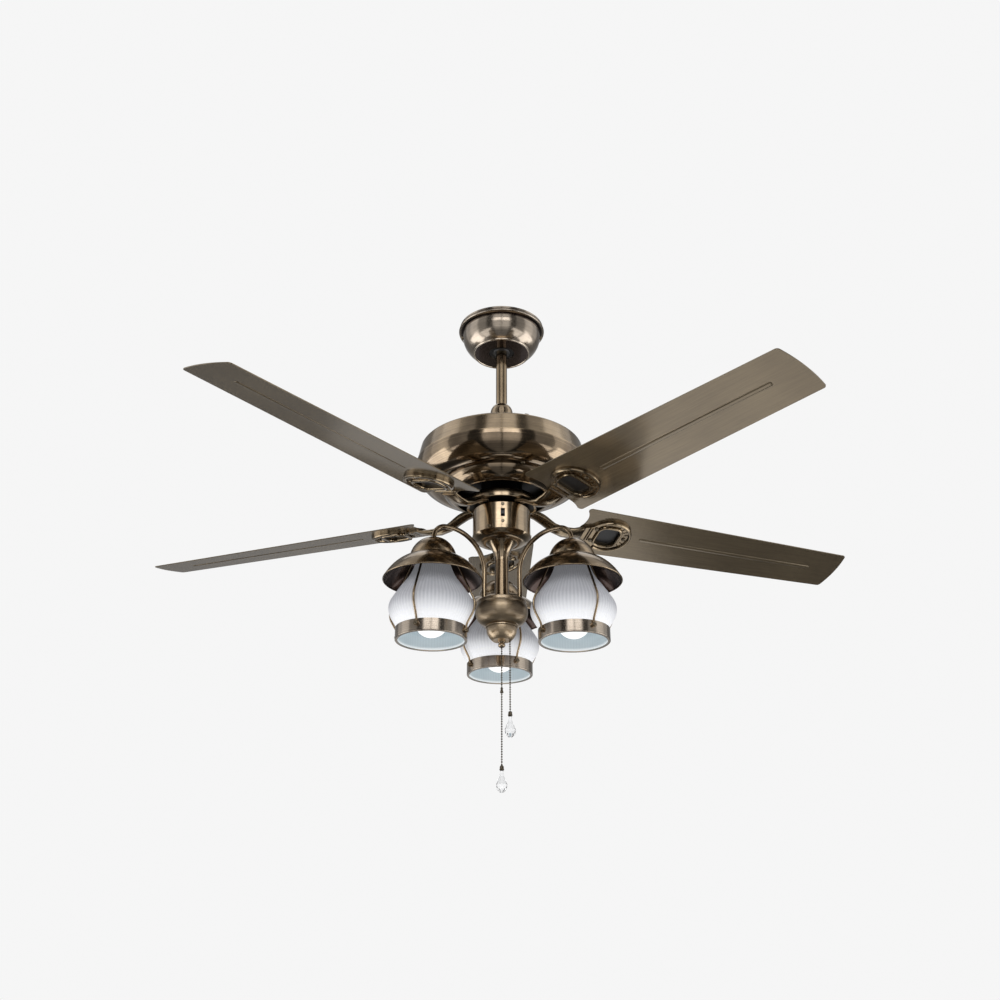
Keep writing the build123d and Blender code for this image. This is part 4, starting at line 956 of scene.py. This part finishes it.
def make_fitting(name, outline, top, body, node, material, sides=fitting_sides, crease_angle=crease):
    # A turned piece on a chain, hung from its top
    shell = spun(outline_points(outline, fitting_arc_steps), sides)
    bmesh.ops.translate(shell, verts=shell.verts, vec=top)
    fitting = finished(name, shell, body, [material], crease_angle)
    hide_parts(node)
    return fitting


def make_pull(word, route, body, bell=False):
    # A bead chain, the cap at its end and the clear faceted drop that the cap holds
    points = route_points(f"{word}_route", route)
    chain = make_bead_chain(f"{word}_bead_chain", points, body, f"{word}_chain")
    node = f"{word}_pull_knob"
    end = Vector(route[-1])
    cap_height = -cap_outline[-1][1] * mm
    below_cap = end - Vector((0, 0, cap_height))
    ends = [
        make_fitting(f"{word}_pull_cap", cap_outline, end, body, node, chain_bronze),
        make_fitting(
            f"{word}_pull_drop", drop_outline, below_cap, body, node, clear_glass, drop_facets,
            facet_crease,
        ),
    ]
    if bell:
        place = Vector((end.x, end.y, bell_top))
        fitting = make_fitting(f"{word}_bell", bell_outline, place, body, node, chain_bronze)
        ends.append(fitting)


make_pull("fan", fan_chain_route, "fan_pull", bell=True)
make_pull("light", light_chain_route, "light_pull")


# Lantern glass

def make_shade(number, middle):
    # A blown shade with fine upright flutes outside and a smooth wall inside
    _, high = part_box(f"glass_shade_{number}")
    outer = outline_points(glass_outline, glass_arc_steps)
    inner = [Vector((point.x - glass_wall, point.y)) for point in reversed(outer)]
    shell = spun(outer + inner, glass_flutes * flute_steps, closed=True, marked=len(outer))
    mark = shell.verts.layers.int["mark"]
    top = outer[0].y
    foot = outer[-1].y
    for vert in [vert for vert in shell.verts if vert[mark]]:
        radius = math.hypot(vert.co.x, vert.co.y)
        angle = math.atan2(vert.co.y, vert.co.x)
        ease = min(1, (top - vert.co.z) / flute_fade, (vert.co.z - foot) / flute_fade)
        depth = flute_depth * ease * (0.5 - 0.5 * math.cos(glass_flutes * angle))
        shrink = (radius - depth) / radius
        vert.co.x *= shrink
        vert.co.y *= shrink
    for face in shell.faces:
        centre = face.calc_center_median()
        out = Vector((centre.x, centre.y, 0))
        face.material_index = 1 if face.normal.dot(out) < 0 else 0
    bmesh.ops.translate(shell, verts=shell.verts, vec=(middle.x, middle.y, high.z))
    # Outside: painted shade in the flutes and a painted glow towards the foot
    frost = shade_glass(
        f"shade_frost_{number}", middle, frost_dark, frost_light, frost_lit, frost_glow, frost_rough
    )
    # Inside: a teal-grey painted reflection with painted flute shade, and a painted highlight at the rim
    inner_wall = shade_glass(
        f"shade_inner_wall_{number}", middle, inner_wall_dark, inner_wall_light, inner_wall_lit, rim_glow, inner_wall_rough
    )
    shade = finished(f"fluted_shade_{number}", shell, "hanging_frame", [frost, inner_wall])
    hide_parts(f"glass_shade_{number}")


for number, middle in enumerate(lantern_middles, 1):
    make_shade(number, middle)


# Relief on the blade irons

def make_iron_relief(number):
    # The rim round an iron's loop, the lip round its window, and the rungs and bands between them
    shell = bmesh.new()
    rim = loop_radius - rim_inset
    start_angle = math.radians(-rim_half_turn)
    start = (loop_middle + rim * math.cos(start_angle), rim * math.sin(start_angle), iron_under)
    swept_bead(shell, start, start_angle + math.pi / 2, rim_radius, [(2 * rim_half_turn, rim)])
    corner = window_corner + lip_inset
    run = window_length / 2 + lip_inset - corner
    climb = window_width / 2 + lip_inset - corner
    lip_start = (window_middle, -window_width / 2 - lip_inset, iron_under - lip_drop)
    sides = [(0, run), (90, corner), (0, 2 * climb), (90, corner), (0, 2 * run)]
    sides += [(90, corner), (0, 2 * climb), (90, corner), (0, run)]
    swept_bead(shell, lip_start, 0, lip_radius, sides)
    for degrees in rung_angles:
        angle = math.radians(degrees)
        foot = (loop_middle + rung_start * math.cos(angle), rung_start * math.sin(angle), iron_under)
        swept_bead(shell, foot, angle, rung_radius, [(0, rung_length)], fine_sides)
    for place in band_places:
        band_start = (place, -band_half_width, iron_under)
        swept_bead(shell, band_start, math.pi / 2, band_radius, [(0, 2 * band_half_width)], fine_sides)
    close_ends(shell)
    bmesh.ops.transform(shell, matrix=blade_frame(number), verts=shell.verts)
    finished(f"iron_relief_{number + 1}", shell, "rotor", [iron_bronze])


def make_window_shade_sheet(number):
    # A dark sheet between the blade and its iron: painted shade that shows in the iron's deep window
    shell = bmesh.new()
    bmesh.ops.create_cube(shell, size=1.0)
    size = (window_length - 2 * shade_sheet_gap, window_width - 2 * shade_sheet_gap, shade_sheet_depth)
    bmesh.ops.scale(shell, verts=shell.verts, vec=size)
    upright = [edge for edge in shell.edges if abs(edge.verts[0].co.z - edge.verts[1].co.z) > shade_sheet_depth / 2]
    bmesh.ops.bevel(
        shell, geom=upright, offset=window_corner, affect="EDGES", segments=shade_sheet_corner_steps, profile=0.5,
        material=-1,
    )
    bmesh.ops.translate(shell, verts=shell.verts, vec=(window_middle, 0, shade_sheet_level))
    bmesh.ops.transform(shell, matrix=blade_frame(number), verts=shell.verts)
    finished(f"window_shade_sheet_{number + 1}", shell, "rotor", [black_plastic])


def make_rib(number):
    # A low ridge with round ends
    shell = bmesh.new()
    bmesh.ops.create_uvsphere(shell, u_segments=rib_segments, v_segments=rib_rings, radius=1.0)
    bmesh.ops.rotate(shell, verts=shell.verts, cent=(0, 0, 0), matrix=Matrix.Rotation(math.pi / 2, 3, "Y"))
    bmesh.ops.scale(shell, verts=shell.verts, vec=(rib_half_width, rib_half_width, rib_stand))
    half_run = (rib_end - rib_start) / 2 - rib_half_width
    for side in both_sides:
        end_verts = [vert for vert in shell.verts if vert.co.x * side > weld]
        bmesh.ops.translate(shell, verts=end_verts, vec=(side * half_run, 0, 0))
    bmesh.ops.translate(shell, verts=shell.verts, vec=((rib_start + rib_end) / 2, 0, blade_under))
    bmesh.ops.transform(shell, matrix=blade_frame(number), verts=shell.verts)
    sheet = node_finish[f"blade_{number + 1}"]
    finished(f"blade_rib_{number + 1}", shell, "rotor", [sheet], soft_crease)


def make_strap(number):
    # A rounded bar bridged from ring to ring
    shell = bmesh.new()
    last = None
    for out, level, half_width, half_depth, pitch in strap_rings:
        ring = bmesh.ops.create_circle(shell, radius=mm, segments=strap_sides)["verts"]
        bmesh.ops.scale(shell, verts=ring, vec=(half_depth, half_width, 1))
        upright = Matrix.Rotation(math.pi / 2, 3, "Y")
        tilt = Matrix.Rotation(math.radians(blade_pitch * pitch), 3, "X")
        bmesh.ops.rotate(shell, verts=ring, cent=(0, 0, 0), matrix=tilt @ upright)
        bmesh.ops.translate(shell, verts=ring, vec=(out * mm, 0, level * mm))
        edges = list({edge for vert in ring for edge in vert.link_edges})
        if last:
            bmesh.ops.bridge_loops(shell, edges=last + edges)
        last = edges
    close_ends(shell)
    turn = Matrix.Rotation(blade_angle(number), 4, "Z")
    bmesh.ops.transform(shell, matrix=turn, verts=shell.verts)
    finished(f"iron_strap_{number + 1}", shell, "rotor", [iron_bronze], soft_crease)


for number in range(blade_count):
    make_iron_relief(number)
    make_window_shade_sheet(number)
    make_rib(number)
    make_strap(number)
